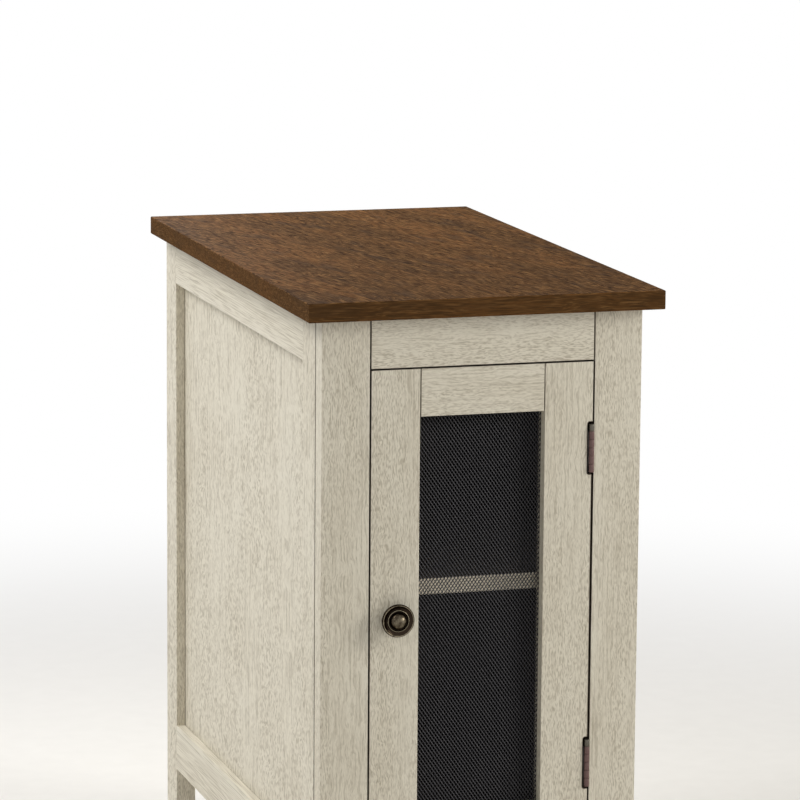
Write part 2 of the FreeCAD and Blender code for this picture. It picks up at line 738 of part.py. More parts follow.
# Turned knob on the knob side's stile, and its screw from the back of the door
knob_x = -(opening_side + size.door_stile_width / 2)
knob_level = (door_top + door_low) / 2
knob_hole_radius = size.knob_screw_diameter / 2 + size.hole_clearance
knob_hole_depth = size.knob_screw_grip + size.end_clearance
knob_outline = [(knob_hole_radius, 0)]
for radius_share, height_share in knob_outline_shares:
    knob_outline.append((size.knob_diameter / 2 * radius_share, size.knob_height * height_share))
dome_radius, dome_base = knob_outline[-1]
for band in range(1, DOME_BANDS):
    turn = math.pi / 2 * band / DOME_BANDS
    dome_rise = (size.knob_height - dome_base) * math.sin(turn)
    knob_outline.append((dome_radius * math.cos(turn), dome_base + dome_rise))
knob_outline += [(0, size.knob_height), (0, knob_hole_depth), (knob_hole_radius, knob_hole_depth)]
knob = turned("knob", knob_outline)
knob.Placement = FreeCAD.Placement(FreeCAD.Vector(), turn_z_to("-Y"))
keep("knob", knob, (knob_x, front_face, knob_level))
place(knob, (knob_x, front_face, knob_level))

knob_screw = screw(
    "knob_screw",
    size.knob_screw_diameter,
    size.door_thickness + size.knob_screw_grip,
    size.knob_screw_head_diameter,
    size.knob_screw_head_height,
)
knob_screw.Placement = FreeCAD.Placement(FreeCAD.Vector(), turn_z_to("-Y"))
keep("knob_screw", knob_screw, (knob_x, door_back, knob_level))
place(knob_screw, (knob_x, door_back, knob_level))
screw_mouth = (knob_x, door_back, knob_level)
drill("door_stile_knob_side", "-Y", [screw_mouth], knob_hole_radius * 2, size.door_thickness + over)

# Small screws for the hinges, the catch and the strike plate
small_screw = screw(
    "small_screw_pattern",
    size.small_screw_diameter,
    size.small_screw_length,
    size.small_screw_head_diameter,
    size.small_screw_head_height,
)

# Butt hinges: the barrel stands in a notch of the door's edge, flush with the edge of the front stile
barrel_radius = size.barrel_diameter / 2
hinge_x = stile_edge - barrel_radius
hinge_y = front_face - size.hinge_proud
leaf_height = size.knuckle_height * KNUCKLES
notch_reach = barrel_radius + size.barrel_room
notch_x = hinge_x - notch_reach
notch_depth = size.leaf_width - size.hinge_proud + size.swing_clearance
notch_lows = {
    "hinge_upper": door_top - size.hinge_inset - size.hinge_notch_height,
    "hinge_lower": door_low + size.hinge_inset,
}
bore = size.pin_diameter + size.hole_clearance * 2
leaf_spans = {
    "frame_leaf": (barrel_radius - size.leaf_thickness, barrel_radius),
    "door_leaf": (-notch_reach, size.leaf_thickness - notch_reach),
}
leaf_screw_y = size.leaf_width * leaf_screw_depth_share


def hinge_leaf(label, span, knuckle_turn, corner):
    """A hinge leaf with its knuckles: a flat plate and a barrel, cut away where the other leaf's are."""
    left, right = span
    leaf_high = (hinge_x + right, hinge_y + size.leaf_width, corner + leaf_height)
    board(label, (hinge_x + left, hinge_y, corner), leaf_high)
    body = pieces[label]
    barrel = new_sketch(body, "XY_Plane", 0)
    centre = (-left, as_length(0))
    draw_circles(barrel, [centre], size.barrel_diameter)
    extrude(body, "Pad", barrel, leaf_height, False)
    hollow = new_sketch(body, "XY_Plane", 0)
    draw_circles(hollow, [centre], bore)
    extrude(body, "Pocket", hollow, leaf_height + over, True)
    for knuckle in range(knuckle_turn, KNUCKLES, 2):
        gap = new_sketch(body, "XY_Plane", size.knuckle_height * knuckle - size.swing_clearance / 2)
        draw_circles(gap, [centre], size.barrel_diameter + size.swing_clearance * 2)
        extrude(body, "Pocket", gap, size.knuckle_height + size.swing_clearance, True)


def rounded_notch(label, low):
    """The notch of one hinge in the door's edge, with its two inner corners rounded."""
    body = pieces[label]
    left, _, base = local(label, (notch_x, front_face, low))
    right, _, top_level = local(label, (door_edge + over, front_face, low + size.hinge_notch_height))
    radius = size.hinge_notch_radius
    corner_share = 1 - math.sqrt(0.5)
    bulge = radius * corner_share
    outline = [
        (right, base),
        (right, top_level),
        (left + radius, top_level),
        (left + bulge, top_level - bulge, "round"),
        (left, top_level - radius),
        (left, base + radius),
        (left + bulge, base + bulge, "round"),
        (left + radius, base),
    ]
    sketch = new_sketch(body, "XZ_Plane", 0)
    draw_outline(sketch, outline)
    extrude(body, "Pocket", sketch, notch_depth, False)


frame_seats = []
door_seats = []
for name, notch_low in notch_lows.items():
    base = notch_low + size.hinge_end_room
    rounded_notch("door_stile_hinge_side", notch_low)
    hinge_leaf(f"{name}_frame_leaf", leaf_spans["frame_leaf"], 1, base)
    hinge_leaf(f"{name}_door_leaf", leaf_spans["door_leaf"], 0, base)
    levels = [base + leaf_height * share for share in leaf_screw_shares]
    leaf_hole_depth = size.leaf_thickness + over
    screw_hole_depth = size.small_screw_length - size.leaf_thickness + size.end_clearance

    seats = [(stile_edge - size.leaf_thickness, hinge_y + leaf_screw_y, level) for level in levels]
    frame_seats += [(seat, "+X") for seat in seats]
    drill(f"{name}_frame_leaf", "+X", seats, small_screw_hole, leaf_hole_depth)
    mouths = [(stile_edge, hinge_y + leaf_screw_y, level) for level in levels]
    drill("front_stile_right", "+X", mouths, small_screw_hole, screw_hole_depth)

    seats = [(notch_x + size.leaf_thickness, hinge_y + leaf_screw_y, level) for level in levels]
    door_seats += [(seat, "-X") for seat in seats]
    drill(f"{name}_door_leaf", "-X", seats, small_screw_hole, leaf_hole_depth)
    mouths = [(notch_x, hinge_y + leaf_screw_y, level) for level in levels]
    drill("door_stile_hinge_side", "-X", mouths, small_screw_hole, screw_hole_depth)

    pin_top = leaf_height + size.hole_clearance
    hinge_pin_radius = size.pin_diameter / 2
    head_radius = size.pin_head_diameter / 2
    hinge_pin_outline = [
        (0, 0),
        (hinge_pin_radius, 0),
        (hinge_pin_radius, pin_top),
        (head_radius, pin_top),
        (head_radius, pin_top + size.pin_head_height),
        (0, pin_top + size.pin_head_height),
    ]
    hinge_pin = turned(f"{name}_pin", hinge_pin_outline)
    keep(f"{name}_pin", hinge_pin, (hinge_x, hinge_y, base))
    place(hinge_pin, (hinge_x, hinge_y, base))
group("hinge_frame_screws", small_screw, frame_seats)
group("hinge_door_screws", small_screw, door_seats)

# Magnetic catch on the cabinet floor behind the knob side's stile, with its strike plate on the door
strike_level = bottom_rail_top + size.catch_height / 2
strike_back = door_back + size.strike_thickness
strike_left = knob_x - size.strike_width / 2
strike_low = (strike_left, door_back, strike_level - size.strike_height / 2)
strike_high = (strike_left + size.strike_width, strike_back, strike_level + size.strike_height / 2)
board("strike_plate", strike_low, strike_high)
strike_places = [knob_x + size.strike_screw_spacing / 2 * side for side in SIDES.values()]
seats = [(x_place, strike_back, strike_level) for x_place in strike_places]
drill("strike_plate", "-Y", seats, small_screw_hole, size.strike_thickness + over)
mouths = [(x_place, door_back, strike_level) for x_place in strike_places]
strike_hole_depth = size.small_screw_length - size.strike_thickness + size.end_clearance
drill("door_stile_knob_side", "-Y", mouths, small_screw_hole, strike_hole_depth)
group("strike_screws", small_screw, [(seat, "-Y") for seat in seats])

magnet_face = strike_back + size.swing_clearance
catch_front = magnet_face + size.magnet_proud
catch_half = size.catch_width / 2
ear_half = catch_half + size.catch_ear
housing = doc.addObject("PartDesign::Body", "catch_housing")
housing_corner = (knob_x - ear_half, catch_front, bottom_rail_top)
keep("catch_housing", housing, housing_corner)
place(housing, housing_corner)
housing_outline = [
    (0, 0),
    (ear_half * 2, 0),
    (ear_half * 2, size.catch_ear_thickness),
    (ear_half + catch_half, size.catch_ear_thickness),
    (ear_half + catch_half, size.catch_height),
    (ear_half - catch_half, size.catch_height),
    (ear_half - catch_half, size.catch_ear_thickness),
    (0, size.catch_ear_thickness),
]
housing_sketch = new_sketch(housing, "XZ_Plane", 0)
draw_outline(housing_sketch, housing_outline)
extrude(housing, "Pad", housing_sketch, size.catch_depth, True)

magnet_half = size.magnet_width / 2
magnet_low = (knob_x - magnet_half, magnet_face, strike_level - size.magnet_height / 2)
magnet_high = (knob_x + magnet_half, magnet_face + size.magnet_depth, strike_level + size.magnet_height / 2)
board("catch_magnet", magnet_low, magnet_high)
seat_low = (magnet_low[0] - fit, catch_front - over, magnet_low[2] - fit)
seat_high = (magnet_high[0] + fit, magnet_high[1] + fit, magnet_high[2] + fit)
block("catch_housing", "Pocket", seat_low, seat_high)

ear_places = [knob_x + (catch_half + size.catch_ear / 2) * side for side in SIDES.values()]
ear_y = catch_front + size.catch_depth / 2
seats = [(x_place, ear_y, bottom_rail_top + size.catch_ear_thickness) for x_place in ear_places]
drill("catch_housing", "-Z", seats, small_screw_hole, size.catch_ear_thickness + over)
mouths = [(x_place, ear_y, bottom_rail_top) for x_place in ear_places]
catch_hole_depth = size.small_screw_length - size.catch_ear_thickness + size.end_clearance
drill("bottom_panel", "-Z", mouths, small_screw_hole, catch_hole_depth)
group("catch_screws", small_screw, [(seat, "-Z") for seat in seats])

# Build everything, and stop before anything is written if a feature failed
doc.recompute()
problems = [f"{item.Label} failed" for item in doc.Objects if {"Invalid", "Error"} & set(item.State)]
for label, piece in pieces.items():
    if piece.Shape.isNull() or not piece.Shape.isValid() or not piece.Shape.Solids:
        problems.append(f"{label} has no sound solid")
for cut in doc.findObjects("PartDesign::Pocket"):
    if math.isclose(cut.Shape.Volume, cut.BaseFeature.Shape.Volume):
        problems.append(f"{cut.Label} cuts nothing")
if problems:
    raise RuntimeError("; ".join(problems))

os.makedirs("parts", exist_ok=True)
for label, piece in pieces.items():
    piece.Shape.exportStep(f"parts/{label}.step")
print(f"{len(pieces)} pieces, {sum(len(piece.Shape.Solids) for piece in pieces.values())} solids")
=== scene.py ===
# %% [markdown]
# # A narrow storage side table with a mesh door
# The table is a cream cabinet on short legs under a dark brown top. An inset door with a black metal
# mesh closes its front. The solids of the table come from a fixed frame, in metres, and this lesson
# gives them their looks: eased edges, wood grain, a fine mesh, a turned knob and real screws. All of it
# could be modelled anew, but a piece that starts from its solid lies in its place without any fitting.

# %% Load the frame
import json
import math

import bmesh
import bpy
from mathutils import Color, Matrix, Vector
from mathutils.bvhtree import BVHTree


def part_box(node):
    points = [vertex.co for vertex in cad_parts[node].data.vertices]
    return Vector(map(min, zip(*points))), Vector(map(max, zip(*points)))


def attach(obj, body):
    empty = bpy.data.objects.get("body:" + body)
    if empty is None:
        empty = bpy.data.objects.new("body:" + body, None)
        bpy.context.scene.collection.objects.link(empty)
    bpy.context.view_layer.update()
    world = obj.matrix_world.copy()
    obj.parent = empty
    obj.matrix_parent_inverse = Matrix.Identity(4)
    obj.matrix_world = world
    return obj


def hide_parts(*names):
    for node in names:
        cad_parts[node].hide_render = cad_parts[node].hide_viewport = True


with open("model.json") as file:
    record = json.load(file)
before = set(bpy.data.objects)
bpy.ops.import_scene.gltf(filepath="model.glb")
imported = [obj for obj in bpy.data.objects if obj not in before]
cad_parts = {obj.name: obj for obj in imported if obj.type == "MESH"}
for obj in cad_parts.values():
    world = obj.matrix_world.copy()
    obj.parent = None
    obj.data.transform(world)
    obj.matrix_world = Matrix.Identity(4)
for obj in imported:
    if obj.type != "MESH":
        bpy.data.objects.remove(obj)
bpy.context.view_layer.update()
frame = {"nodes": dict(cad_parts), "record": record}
nodes = frame["nodes"]
bodies = frame["record"]["behaviour"]["bodies"]
body_of_node = {node: body for body, members in bodies.items() for node in members}

# %% [markdown]
# ## Camera
# The photograph was taken with a long lens, from the left, a little above the top. Three angles, the
# lens and one corner of the top at a known pixel fix such a camera. Aiming it by eye would be quicker,
# but then no edge would lie where the photograph shows it.

# %% Camera
IMAGE_SIZE = 800
SENSOR_WIDTH = 36.0
FOCAL_PIXELS = 4343.5
VIEW_AZIMUTH = math.radians(-16.881)
VIEW_ELEVATION = math.radians(10.105)
VIEW_ROLL = math.radians(0.439)
CORNER_PIXEL = (308.93, 304.27)
CORNER_DISTANCE = 3.5433

top_low, top_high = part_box("top_panel")
top_corner = Vector((top_low.x, top_low.y, top_high.z))
view_back = Vector((
    math.sin(VIEW_AZIMUTH) * math.cos(VIEW_ELEVATION),
    -math.cos(VIEW_AZIMUTH) * math.cos(VIEW_ELEVATION),
    math.sin(VIEW_ELEVATION),
))
level_right = Vector((0, 0, 1)).cross(view_back).normalized()
level_up = view_back.cross(level_right)
view_right = level_right * math.cos(VIEW_ROLL) + level_up * math.sin(VIEW_ROLL)
view_up = level_up * math.cos(VIEW_ROLL) - level_right * math.sin(VIEW_ROLL)
corner_right = (CORNER_PIXEL[0] - IMAGE_SIZE / 2) / FOCAL_PIXELS
corner_up = (IMAGE_SIZE / 2 - CORNER_PIXEL[1]) / FOCAL_PIXELS
view_ray = corner_right * view_right + corner_up * view_up - view_back

lens = bpy.data.cameras.new("photo_lens")
lens.sensor_width = SENSOR_WIDTH
lens.lens = SENSOR_WIDTH * FOCAL_PIXELS / IMAGE_SIZE
camera = bpy.data.objects.new("camera", lens)
camera_axes = Matrix((view_right, view_up, view_back)).transposed().to_4x4()
camera_spot = top_corner - CORNER_DISTANCE * view_ray
camera.matrix_world = Matrix.Translation(camera_spot) @ camera_axes
scene = bpy.context.scene
scene.collection.objects.link(camera)
scene.camera = camera
scene.view_settings.view_transform = "Standard"
print("camera at", [round(value, 3) for value in camera_spot], "with a lens of", round(lens.lens, 1), "mm")

# %% [markdown]
# ## Sums of node outputs
# The numbers of a finish run through Math nodes. These could be placed and linked one by one, but that
# takes several lines for each sum. Here a Value stands for one output of a node, and a sum of Values
# adds its Math nodes, so a mask is written as plain arithmetic.

# %% Values
class Value:
    """One output of a node. A sum with other values or numbers adds a Math node."""

    def __init__(self, shading, socket):
        self.shading = shading
        self.socket = socket

    def output(self, name):
        """Another output of the same node."""
        return Value(self.shading, self.socket.node.outputs[name])

    def math(self, operation, first, second):
        """What a Math node makes of two values or numbers."""
        return self.shading.node("ShaderNodeMath", {"operation": operation}, {0: first, 1: second})

    def __add__(self, other):
        return self.math("ADD", self, other)

    def __sub__(self, other):
        return self.math("SUBTRACT", self, other)

    def __rsub__(self, other):
        return self.math("SUBTRACT", other, self)

    def __mul__(self, other):
        return self.math("MULTIPLY", self, other)

    __radd__ = __add__
    __rmul__ = __mul__


print("values add Math nodes for sums, differences and products")

# %% [markdown]
# ## Nodes and colours
# Every other node comes from one method, which takes its kind, its settings and what its sockets get.
# Colours are written as a screen shows them, because that is how they are read off a picture. They
# could be written as the linear numbers that a shader takes, but those say little to the eye.

# %% Shadings
class Shading:
    """The nodes of one material or of the world, its owner."""

    def __init__(self, owner):
        owner.use_nodes = True
        owner.node_tree.nodes.clear()
        self.owner = owner
        self.tree = owner.node_tree

    def node(self, kind, settings=None, sockets=None, output=0):
        """Add a node: its settings come first, then the values or links of its sockets."""
        made = self.tree.nodes.new(kind)
        for name, setting in (settings or {}).items():
            setattr(made, name, setting)
        for name, value in (sockets or {}).items():
            if isinstance(value, Value):
                self.tree.links.new(value.socket, made.inputs[name])
            else:
                made.inputs[name].default_value = value
        return Value(self, made.outputs[output]) if made.outputs else None

    def soft_step(self, value, low, high):
        """0 below low, 1 above high, with a soft change between."""
        sockets = {"Value": value, "From Min": low, "From Max": high}
        return self.node("ShaderNodeMapRange", {"interpolation_type": "SMOOTHSTEP"}, sockets)

    def mix(self, share, first, second):
        """A colour between two colours, which are the sockets 6 and 7 of a Mix node."""
        return self.node("ShaderNodeMix", {"data_type": "RGBA"}, {0: share, 6: first, 7: second}, 2)

    def vector(self, operation, *sides, output="Vector"):
        """What a Vector Math node makes of some vectors."""
        return self.node("ShaderNodeVectorMath", {"operation": operation}, dict(enumerate(sides)), output)

    def mark(self, name, output="Fac"):
        """What a mesh carries under this name on its faces, corners or points."""
        return self.node("ShaderNodeAttribute", {"attribute_name": name}, {}, output)

    def noise(self, place, scale=1.0, detail=2.0):
        """Noise at some places, from about 0 to 1."""
        sockets = {"Vector": place, "Scale": scale, "Detail": detail}
        return self.node("ShaderNodeTexNoise", {}, sockets, "Fac")

    def speckle(self, scale, detail=2.0):
        """Fine noise all over a piece, with about this many spots to the metre."""
        return self.noise(self.node("ShaderNodeTexCoord", output="Object"), scale, detail)

    def surface(self, sockets):
        """Put a Principled surface on the material's output, and give back the finished material."""
        shader = self.node("ShaderNodeBsdfPrincipled", {}, sockets)
        self.node("ShaderNodeOutputMaterial", {}, {"Surface": shader})
        print("finish:", self.owner.name, "with", len(self.tree.nodes), "nodes")
        return self.owner


def new_finish(name):
    """The Shading of a new material."""
    return Shading(bpy.data.materials.new(name))


FULL_LEVEL = 255


def paint(red, green, blue):
    """A colour as a screen shows it, from 0 to 255, turned into the linear colour that a shader takes."""
    shown = Color((red / FULL_LEVEL, green / FULL_LEVEL, blue / FULL_LEVEL))
    return (*shown.from_srgb_to_scene_linear(), 1.0)


print("cream as a linear colour:", [round(part, 3) for part in paint(210, 203, 186)])

# %% [markdown]
# ## Studio
# A pale floor runs back into white, and the world shows white to the camera while it gives a weaker,
# even light. Four soft lamps do the rest: one at the right for the front, a large one high at the left
# for the side, a weak one low before the door, and a small one behind for the back of the top. One strong
# lamp would be simpler, but its hard shadows would hide the joints and the mesh.

# %% Floor
FLOOR_RADIUS = 12.0
FLOOR_SIDES = 96
FLOOR_FADE = (0.5, 1.9)
FLOOR_SPECKLE = 40.0
FLOOR_ROUGHNESS = 0.9
FLOOR_PAINTS = (paint(226, 224, 220), paint(232, 230, 226))
WHITE = (1.0, 1.0, 1.0, 1.0)


def shown_rays(shading):
    """1 for rays that show the backdrop itself: to the camera, or by way of metal or glass."""
    path = shading.node("ShaderNodeLightPath", output="Is Camera Ray")
    return path + path.output("Is Glossy Ray") + path.output("Is Transmission Ray")


def pale_floor():
    """A pale matt floor that fades into white away from the table."""
    shading = new_finish("pale_floor")
    distance = shading.vector("LENGTH", shading.node("ShaderNodeTexCoord", output="Object"), output="Value")
    pale = shading.mix(shading.speckle(FLOOR_SPECKLE), *FLOOR_PAINTS)
    matt = {"Base Color": pale, "Roughness": FLOOR_ROUGHNESS}
    plain = shading.node("ShaderNodeBsdfPrincipled", {}, matt)
    white = shading.node("ShaderNodeEmission", {}, {"Color": WHITE, "Strength": 1.0})
    far = shading.soft_step(distance, *FLOOR_FADE) * shown_rays(shading)
    mixed = shading.node("ShaderNodeMixShader", {}, {0: far, 1: plain, 2: white})
    shading.node("ShaderNodeOutputMaterial", {}, {"Surface": mixed})
    return shading.owner


disc = bmesh.new()
bmesh.ops.create_circle(disc, cap_ends=True, segments=FLOOR_SIDES, radius=FLOOR_RADIUS)
floor_mesh = bpy.data.meshes.new("studio_floor")
disc.to_mesh(floor_mesh)
disc.free()
floor_mesh.materials.append(pale_floor())
floor = bpy.data.objects.new("studio_floor", floor_mesh)
scene.collection.objects.link(floor)
print("floor: a disc of", FLOOR_RADIUS, "m radius")

# %% World
WORLD_STRENGTH = 0.4
WORLD_PAINT = paint(255, 253, 250)


def studio_world():
    """An even light that shows as white to the camera."""
    shading = Shading(bpy.data.worlds.new("studio"))
    even = shading.node("ShaderNodeBackground", {}, {"Color": WORLD_PAINT, "Strength": WORLD_STRENGTH})
    white = shading.node("ShaderNodeBackground", {}, {"Color": WHITE, "Strength": 1.0})
    mixed = shading.node("ShaderNodeMixShader", {}, {0: shown_rays(shading), 1: even, 2: white})
    shading.node("ShaderNodeOutputWorld", {}, {"Surface": mixed})
    return shading.owner


scene.world = studio_world()
print("world: even light with a strength of", WORLD_STRENGTH)

# %% Lamps
LAMP_TARGET = Vector((0.0, -0.1, 0.42))


def soft_lamp(name, spot, size, power, colour):
    """A flat lamp that faces the table, with its width and height in metres and its power in watts."""
    light = bpy.data.lights.new(name, "AREA")
    light.shape = "RECTANGLE"
    light.size, light.size_y = size
    light.energy = power
    light.color = paint(*colour)[:3]
    lamp = bpy.data.objects.new(name, light)
    aim = (LAMP_TARGET - Vector(spot)).to_track_quat("-Z", "Y").to_matrix().to_4x4()
    lamp.matrix_world = Matrix.Translation(spot) @ aim
    scene.collection.objects.link(lamp)
    print("lamp", name, "at", spot, "with", power, "W")


soft_lamp("key_right", spot=(2.0, -1.25, 1.3), size=(0.7, 1.0), power=29.0, colour=(255, 252, 246))
soft_lamp("fill_left", spot=(-1.75, 0.4, 2.3), size=(1.1, 1.1), power=39.0, colour=(255, 254, 252))
soft_lamp("front_low", spot=(0.2, -3.0, 0.55), size=(1.6, 1.0), power=2.6, colour=(255, 253, 249))
soft_lamp("small_back", spot=(-0.15, 0.85, 0.95), size=(0.4, 0.3), power=4.4, colour=(252, 253, 255))

# %% [markdown]
# ## Wood grain
# The cream and the brown finish show the pores of a tropical veneer: short dashes that follow the grain
# and sway with it. A picture of real wood could be laid on the boards, but noise that is drawn out along
# the grain has no seams and runs on round every edge. Each board has its own grain coordinates in
# millimetres, so that no two are alike.

# %% Grain patterns
MM = 0.001
NOISE_MIDDLE = 0.5
PORE_DEPTH = 0.2 * MM
PORE_STRENGTH = 0.25


def grain_noise(shading, place, size, shift, detail=2.0):
    """Noise in patches of this size: their length along the grain and their width, in millimetres."""
    length, width = size
    stretch = (1 / length, 1 / width, 1 / width)
    scaled = shading.vector("MULTIPLY_ADD", place, stretch, (shift, shift, shift))
    return shading.noise(scaled, detail=detail)


def streaks(shading, place, size, shift, fade, detail=2.0):
    """Streaks where such noise is high: none below the lower level of fade, full above the upper one."""
    return shading.soft_step(grain_noise(shading, place, size, shift, detail), *fade)


def swaying(shading, place, size, sway, shift):
    """The same places, moved up to this far to the sides, so that what is drawn there sways."""
    swing = (grain_noise(shading, place, size, shift, detail=1.0) - NOISE_MIDDLE) * (2 * sway)
    aside = shading.node("ShaderNodeCombineXYZ", {}, {"Y": swing, "Z": swing})
    return shading.vector("ADD", place, aside)


def pore_bump(shading, pores):
    """Shallow pores in an otherwise smooth finish."""
    sockets = {"Strength": PORE_STRENGTH, "Distance": PORE_DEPTH, "Height": 1 - pores}
    return shading.node("ShaderNodeBump", {}, sockets)


print("pores are", PORE_DEPTH / MM, "mm deep")

# %% [markdown]
# ## Cream finish
# The cabinet has a thin cream finish through which the grey pores show. Inside, the boards get a
# painted dark brown shade, and narrow joints get painted shade too. Three materials on each board could
# do this, but the same grain would be written three times. So one material reads marks that each face
# of a board carries.

# %% Cream finish
CREAM_PAINTS = (paint(219, 214, 199), paint(222, 215, 197))
CREAM_PORES = paint(166, 157, 139)
# The dark brown of the inside is painted shade, with the grain in it.
INSIDE_SHADE_PAINTS = (paint(46, 34, 26), paint(28, 21, 17))
# Painted shade in narrow joints and notches.
JOINT_SHADE = paint(78, 68, 57)
JOINT_FADE = (0.4, 0.75)
SATIN_LEVEL = 0.35


def cream_wood():
    shading = new_finish("cream_wood")
    place = shading.mark("grain", "Vector")
    swayed = swaying(shading, place, size=(22.0, 12.0), sway=3.0, shift=3.0)
    bands = streaks(shading, place, size=(420.0, 24.0), shift=11.0, fade=(0.38, 0.62))
    dashes = streaks(shading, swayed, size=(5.0, 0.8), shift=5.0, fade=(0.42, 0.67), detail=1.0)
    hairs = streaks(shading, swayed, size=(70.0, 1.3), shift=7.0, fade=(0.42, 0.72), detail=1.0)
    cloud = grain_noise(shading, place, size=(120.0, 40.0), shift=17.0)
    # Dashes are strongest in the bands, and long hairs between them.
    depth = dashes * (0.24 + 0.41 * bands) + hairs * (0.5 - 0.3 * bands) + (cloud - NOISE_MIDDLE) * 0.6
    colour = shading.mix(depth, shading.mix(cloud, *CREAM_PAINTS), CREAM_PORES)
    # Faces inside the cabinet get the dark brown painted shade.
    inside_shade = shading.mix(depth, *INSIDE_SHADE_PAINTS)
    colour = shading.mix(shading.mark("inside"), colour, inside_shade)
    # Faces closed in by other solids get a painted shade.
    joint = shading.soft_step(shading.mark("closed"), *JOINT_FADE)
    colour = shading.mix(joint, colour, JOINT_SHADE)
    return shading.surface({
        "Base Color": colour,
        "Roughness": 0.5 + 0.12 * dashes,
        "Specular IOR Level": SATIN_LEVEL,
        "Normal": pore_bump(shading, dashes),
    })


CREAM = cream_wood()

# %% [markdown]
# ## Brown finish
# The top has a dark brown stain over the same kind of veneer. Warm and cool patches lie under pale and
# dark pores, and the patches get warmer and lighter towards the back left, which is painted light. One
# band of colours over one noise would be simpler, but it would give stripes and not pores.

# %% Brown finish
# How much warmer and lighter, as painted light, each millimetre is: along the grain, through the board
# and across the grain.
PAINTED_LIGHT_SLOPE = (1 / 2600, 0.0, -1 / 2200)
TONE_FADE = (0.42, 0.68)
BROWN_STAINS = (paint(77, 51, 26), paint(104, 69, 37))
PALE_PORES = paint(136, 100, 62)
DARK_PORES = paint(44, 30, 18)
COOL_PATCHES = paint(60, 48, 38)
# The upright edges of the top are darker than its face.
EDGE_DARKENING = paint(80, 57, 34)
DULL_LEVEL = 0.003


def brown_wood():
    shading = new_finish("brown_wood")
    place = shading.mark("grain", "Vector")
    swayed = swaying(shading, place, size=(70.0, 22.0), sway=6.0, shift=3.0)
    # Painted light: towards the back left the patches get lighter and warmer.
    painted_light_tone = shading.vector("DOT_PRODUCT", place, PAINTED_LIGHT_SLOPE, output="Value")
    patches = grain_noise(shading, swayed, size=(220.0, 45.0), shift=13.0)
    warm_and_lit = shading.soft_step(patches + painted_light_tone, *TONE_FADE)
    cool = streaks(shading, swayed, size=(60.0, 14.0), shift=23.0, fade=(0.52, 0.7))
    dashes = streaks(shading, swayed, size=(16.0, 1.1), shift=5.0, fade=(0.42, 0.66), detail=3.0)
    lights = streaks(shading, swayed, size=(17.0, 1.15), shift=31.0, fade=(0.43, 0.67), detail=3.0)
    colour = shading.mix(warm_and_lit, *BROWN_STAINS)
    colour = shading.mix(lights * 0.95, colour, PALE_PORES)
    colour = shading.mix(cool * 0.55, colour, COOL_PATCHES)
    colour = shading.mix(dashes * 0.95, colour, DARK_PORES)
    colour = shading.mix(shading.mark("edge") * 0.6, colour, EDGE_DARKENING)
    return shading.surface({
        "Base Color": colour,
        "Roughness": 0.52 + 0.1 * dashes,
        "Specular IOR Level": DULL_LEVEL,
        "Normal": pore_bump(shading, dashes),
    })


BROWN = brown_wood()

# %% [markdown]
# ## Bare wood
# Cleats and dowels are hidden inside the cabinet and stay bare. They could share the grain of the
# boards, but the dowels keep their solids, which carry no grain coordinates. So this finish stretches
# its noise along the depth of the table instead.

# %% Bare wood
BARE_PAINTS = (paint(206, 176, 134), paint(172, 138, 98))
BARE_STRETCH = (420.0, 30.0, 420.0)
RING_FADE = (0.35, 0.7)


def bare_wood():
    shading = new_finish("bare_wood")
    place = shading.node("ShaderNodeTexCoord", output="Object")
    rings = shading.noise(shading.vector("MULTIPLY", place, BARE_STRETCH))
    colour = shading.mix(shading.soft_step(rings, *RING_FADE), *BARE_PAINTS)
    return shading.surface({"Base Color": colour, "Roughness": 0.62 + 0.1 * rings})


BARE = bare_wood()

# %% [markdown]
# ## Eased edges
# The solids have knife-sharp edges, and no painted board has. So each board is made again from its
# solid: doubled points are merged, flat faces are joined, and the long sharp edges get a small round. A
# bevel modifier would do as well, but the copy can also carry marks for its finish.

# %% Copies with eased edges
FLAT_ANGLE = math.radians(1)
SHARP_ANGLE = math.radians(50)
EASE_SEGMENTS = 2
ROUND_PROFILE = 0.5
MERGE_DISTANCE = 1e-6


def merged_solid(node):
    """A copy of a node's solid without doubled points."""
    form = bmesh.new()
    form.from_mesh(nodes[node].data)
    bmesh.ops.remove_doubles(form, verts=form.verts, dist=MERGE_DISTANCE)
    return form


def sharp_edges(form, shortest):
    """The sharp edges of a form that are longer than the shortest that gets a round."""
    return [
        edge for edge in form.edges
        if edge.is_manifold and edge.calc_face_angle() > SHARP_ANGLE and edge.calc_length() > shortest
    ]


def round_edges(form, edges, ease):
    """Give some edges of a form a small round."""
    bmesh.ops.bevel(
        form, geom=edges, offset=ease, offset_type="OFFSET", segments=EASE_SEGMENTS,
        profile=ROUND_PROFILE, affect="EDGES", clamp_overlap=True,
    )


def eased_solid(node, ease, shortest, is_wide=None, wide_ease=0.0):
    """A node's solid with a small round on its sharp edges, where they are long enough to have one.

    Edges whose two ends both pass the test is_wide get a wider round.
    """
    form = merged_solid(node)
    bmesh.ops.dissolve_limit(form, angle_limit=FLAT_ANGLE, verts=form.verts, edges=form.edges)
    if is_wide:
        wide = [edge for edge in sharp_edges(form, 0.0) if all(is_wide(end.co) for end in edge.verts)]
        round_edges(form, wide, wide_ease)
    round_edges(form, sharp_edges(form, shortest), ease)
    return form


print("edges sharper than", round(math.degrees(SHARP_ANGLE)), "degrees are eased")

# %% [markdown]
# ## Grain coordinates
# On a real board the grain runs the long way. The finishes need to know that way at every point, so each
# corner of a face carries its place in its board, in millimetres, with the grain's axis first. Unwrapped
# coordinates could say the same, but they are flat, and these run through the board like real grain.

# %% Grain coordinates
SEED_STEP = Vector((311.0, 97.0, 53.0))
ALONG_X, ALONG_Y, ALONG_Z = 0, 1, 2
END_COSINE = 0.7


def corners_of(points):
    """The lowest and the highest corner of the box round some points."""
    low = Vector([min(point[axis] for point in points) for axis in range(3)])
    high = Vector([max(point[axis] for point in points) for axis in range(3)])
    return low, high


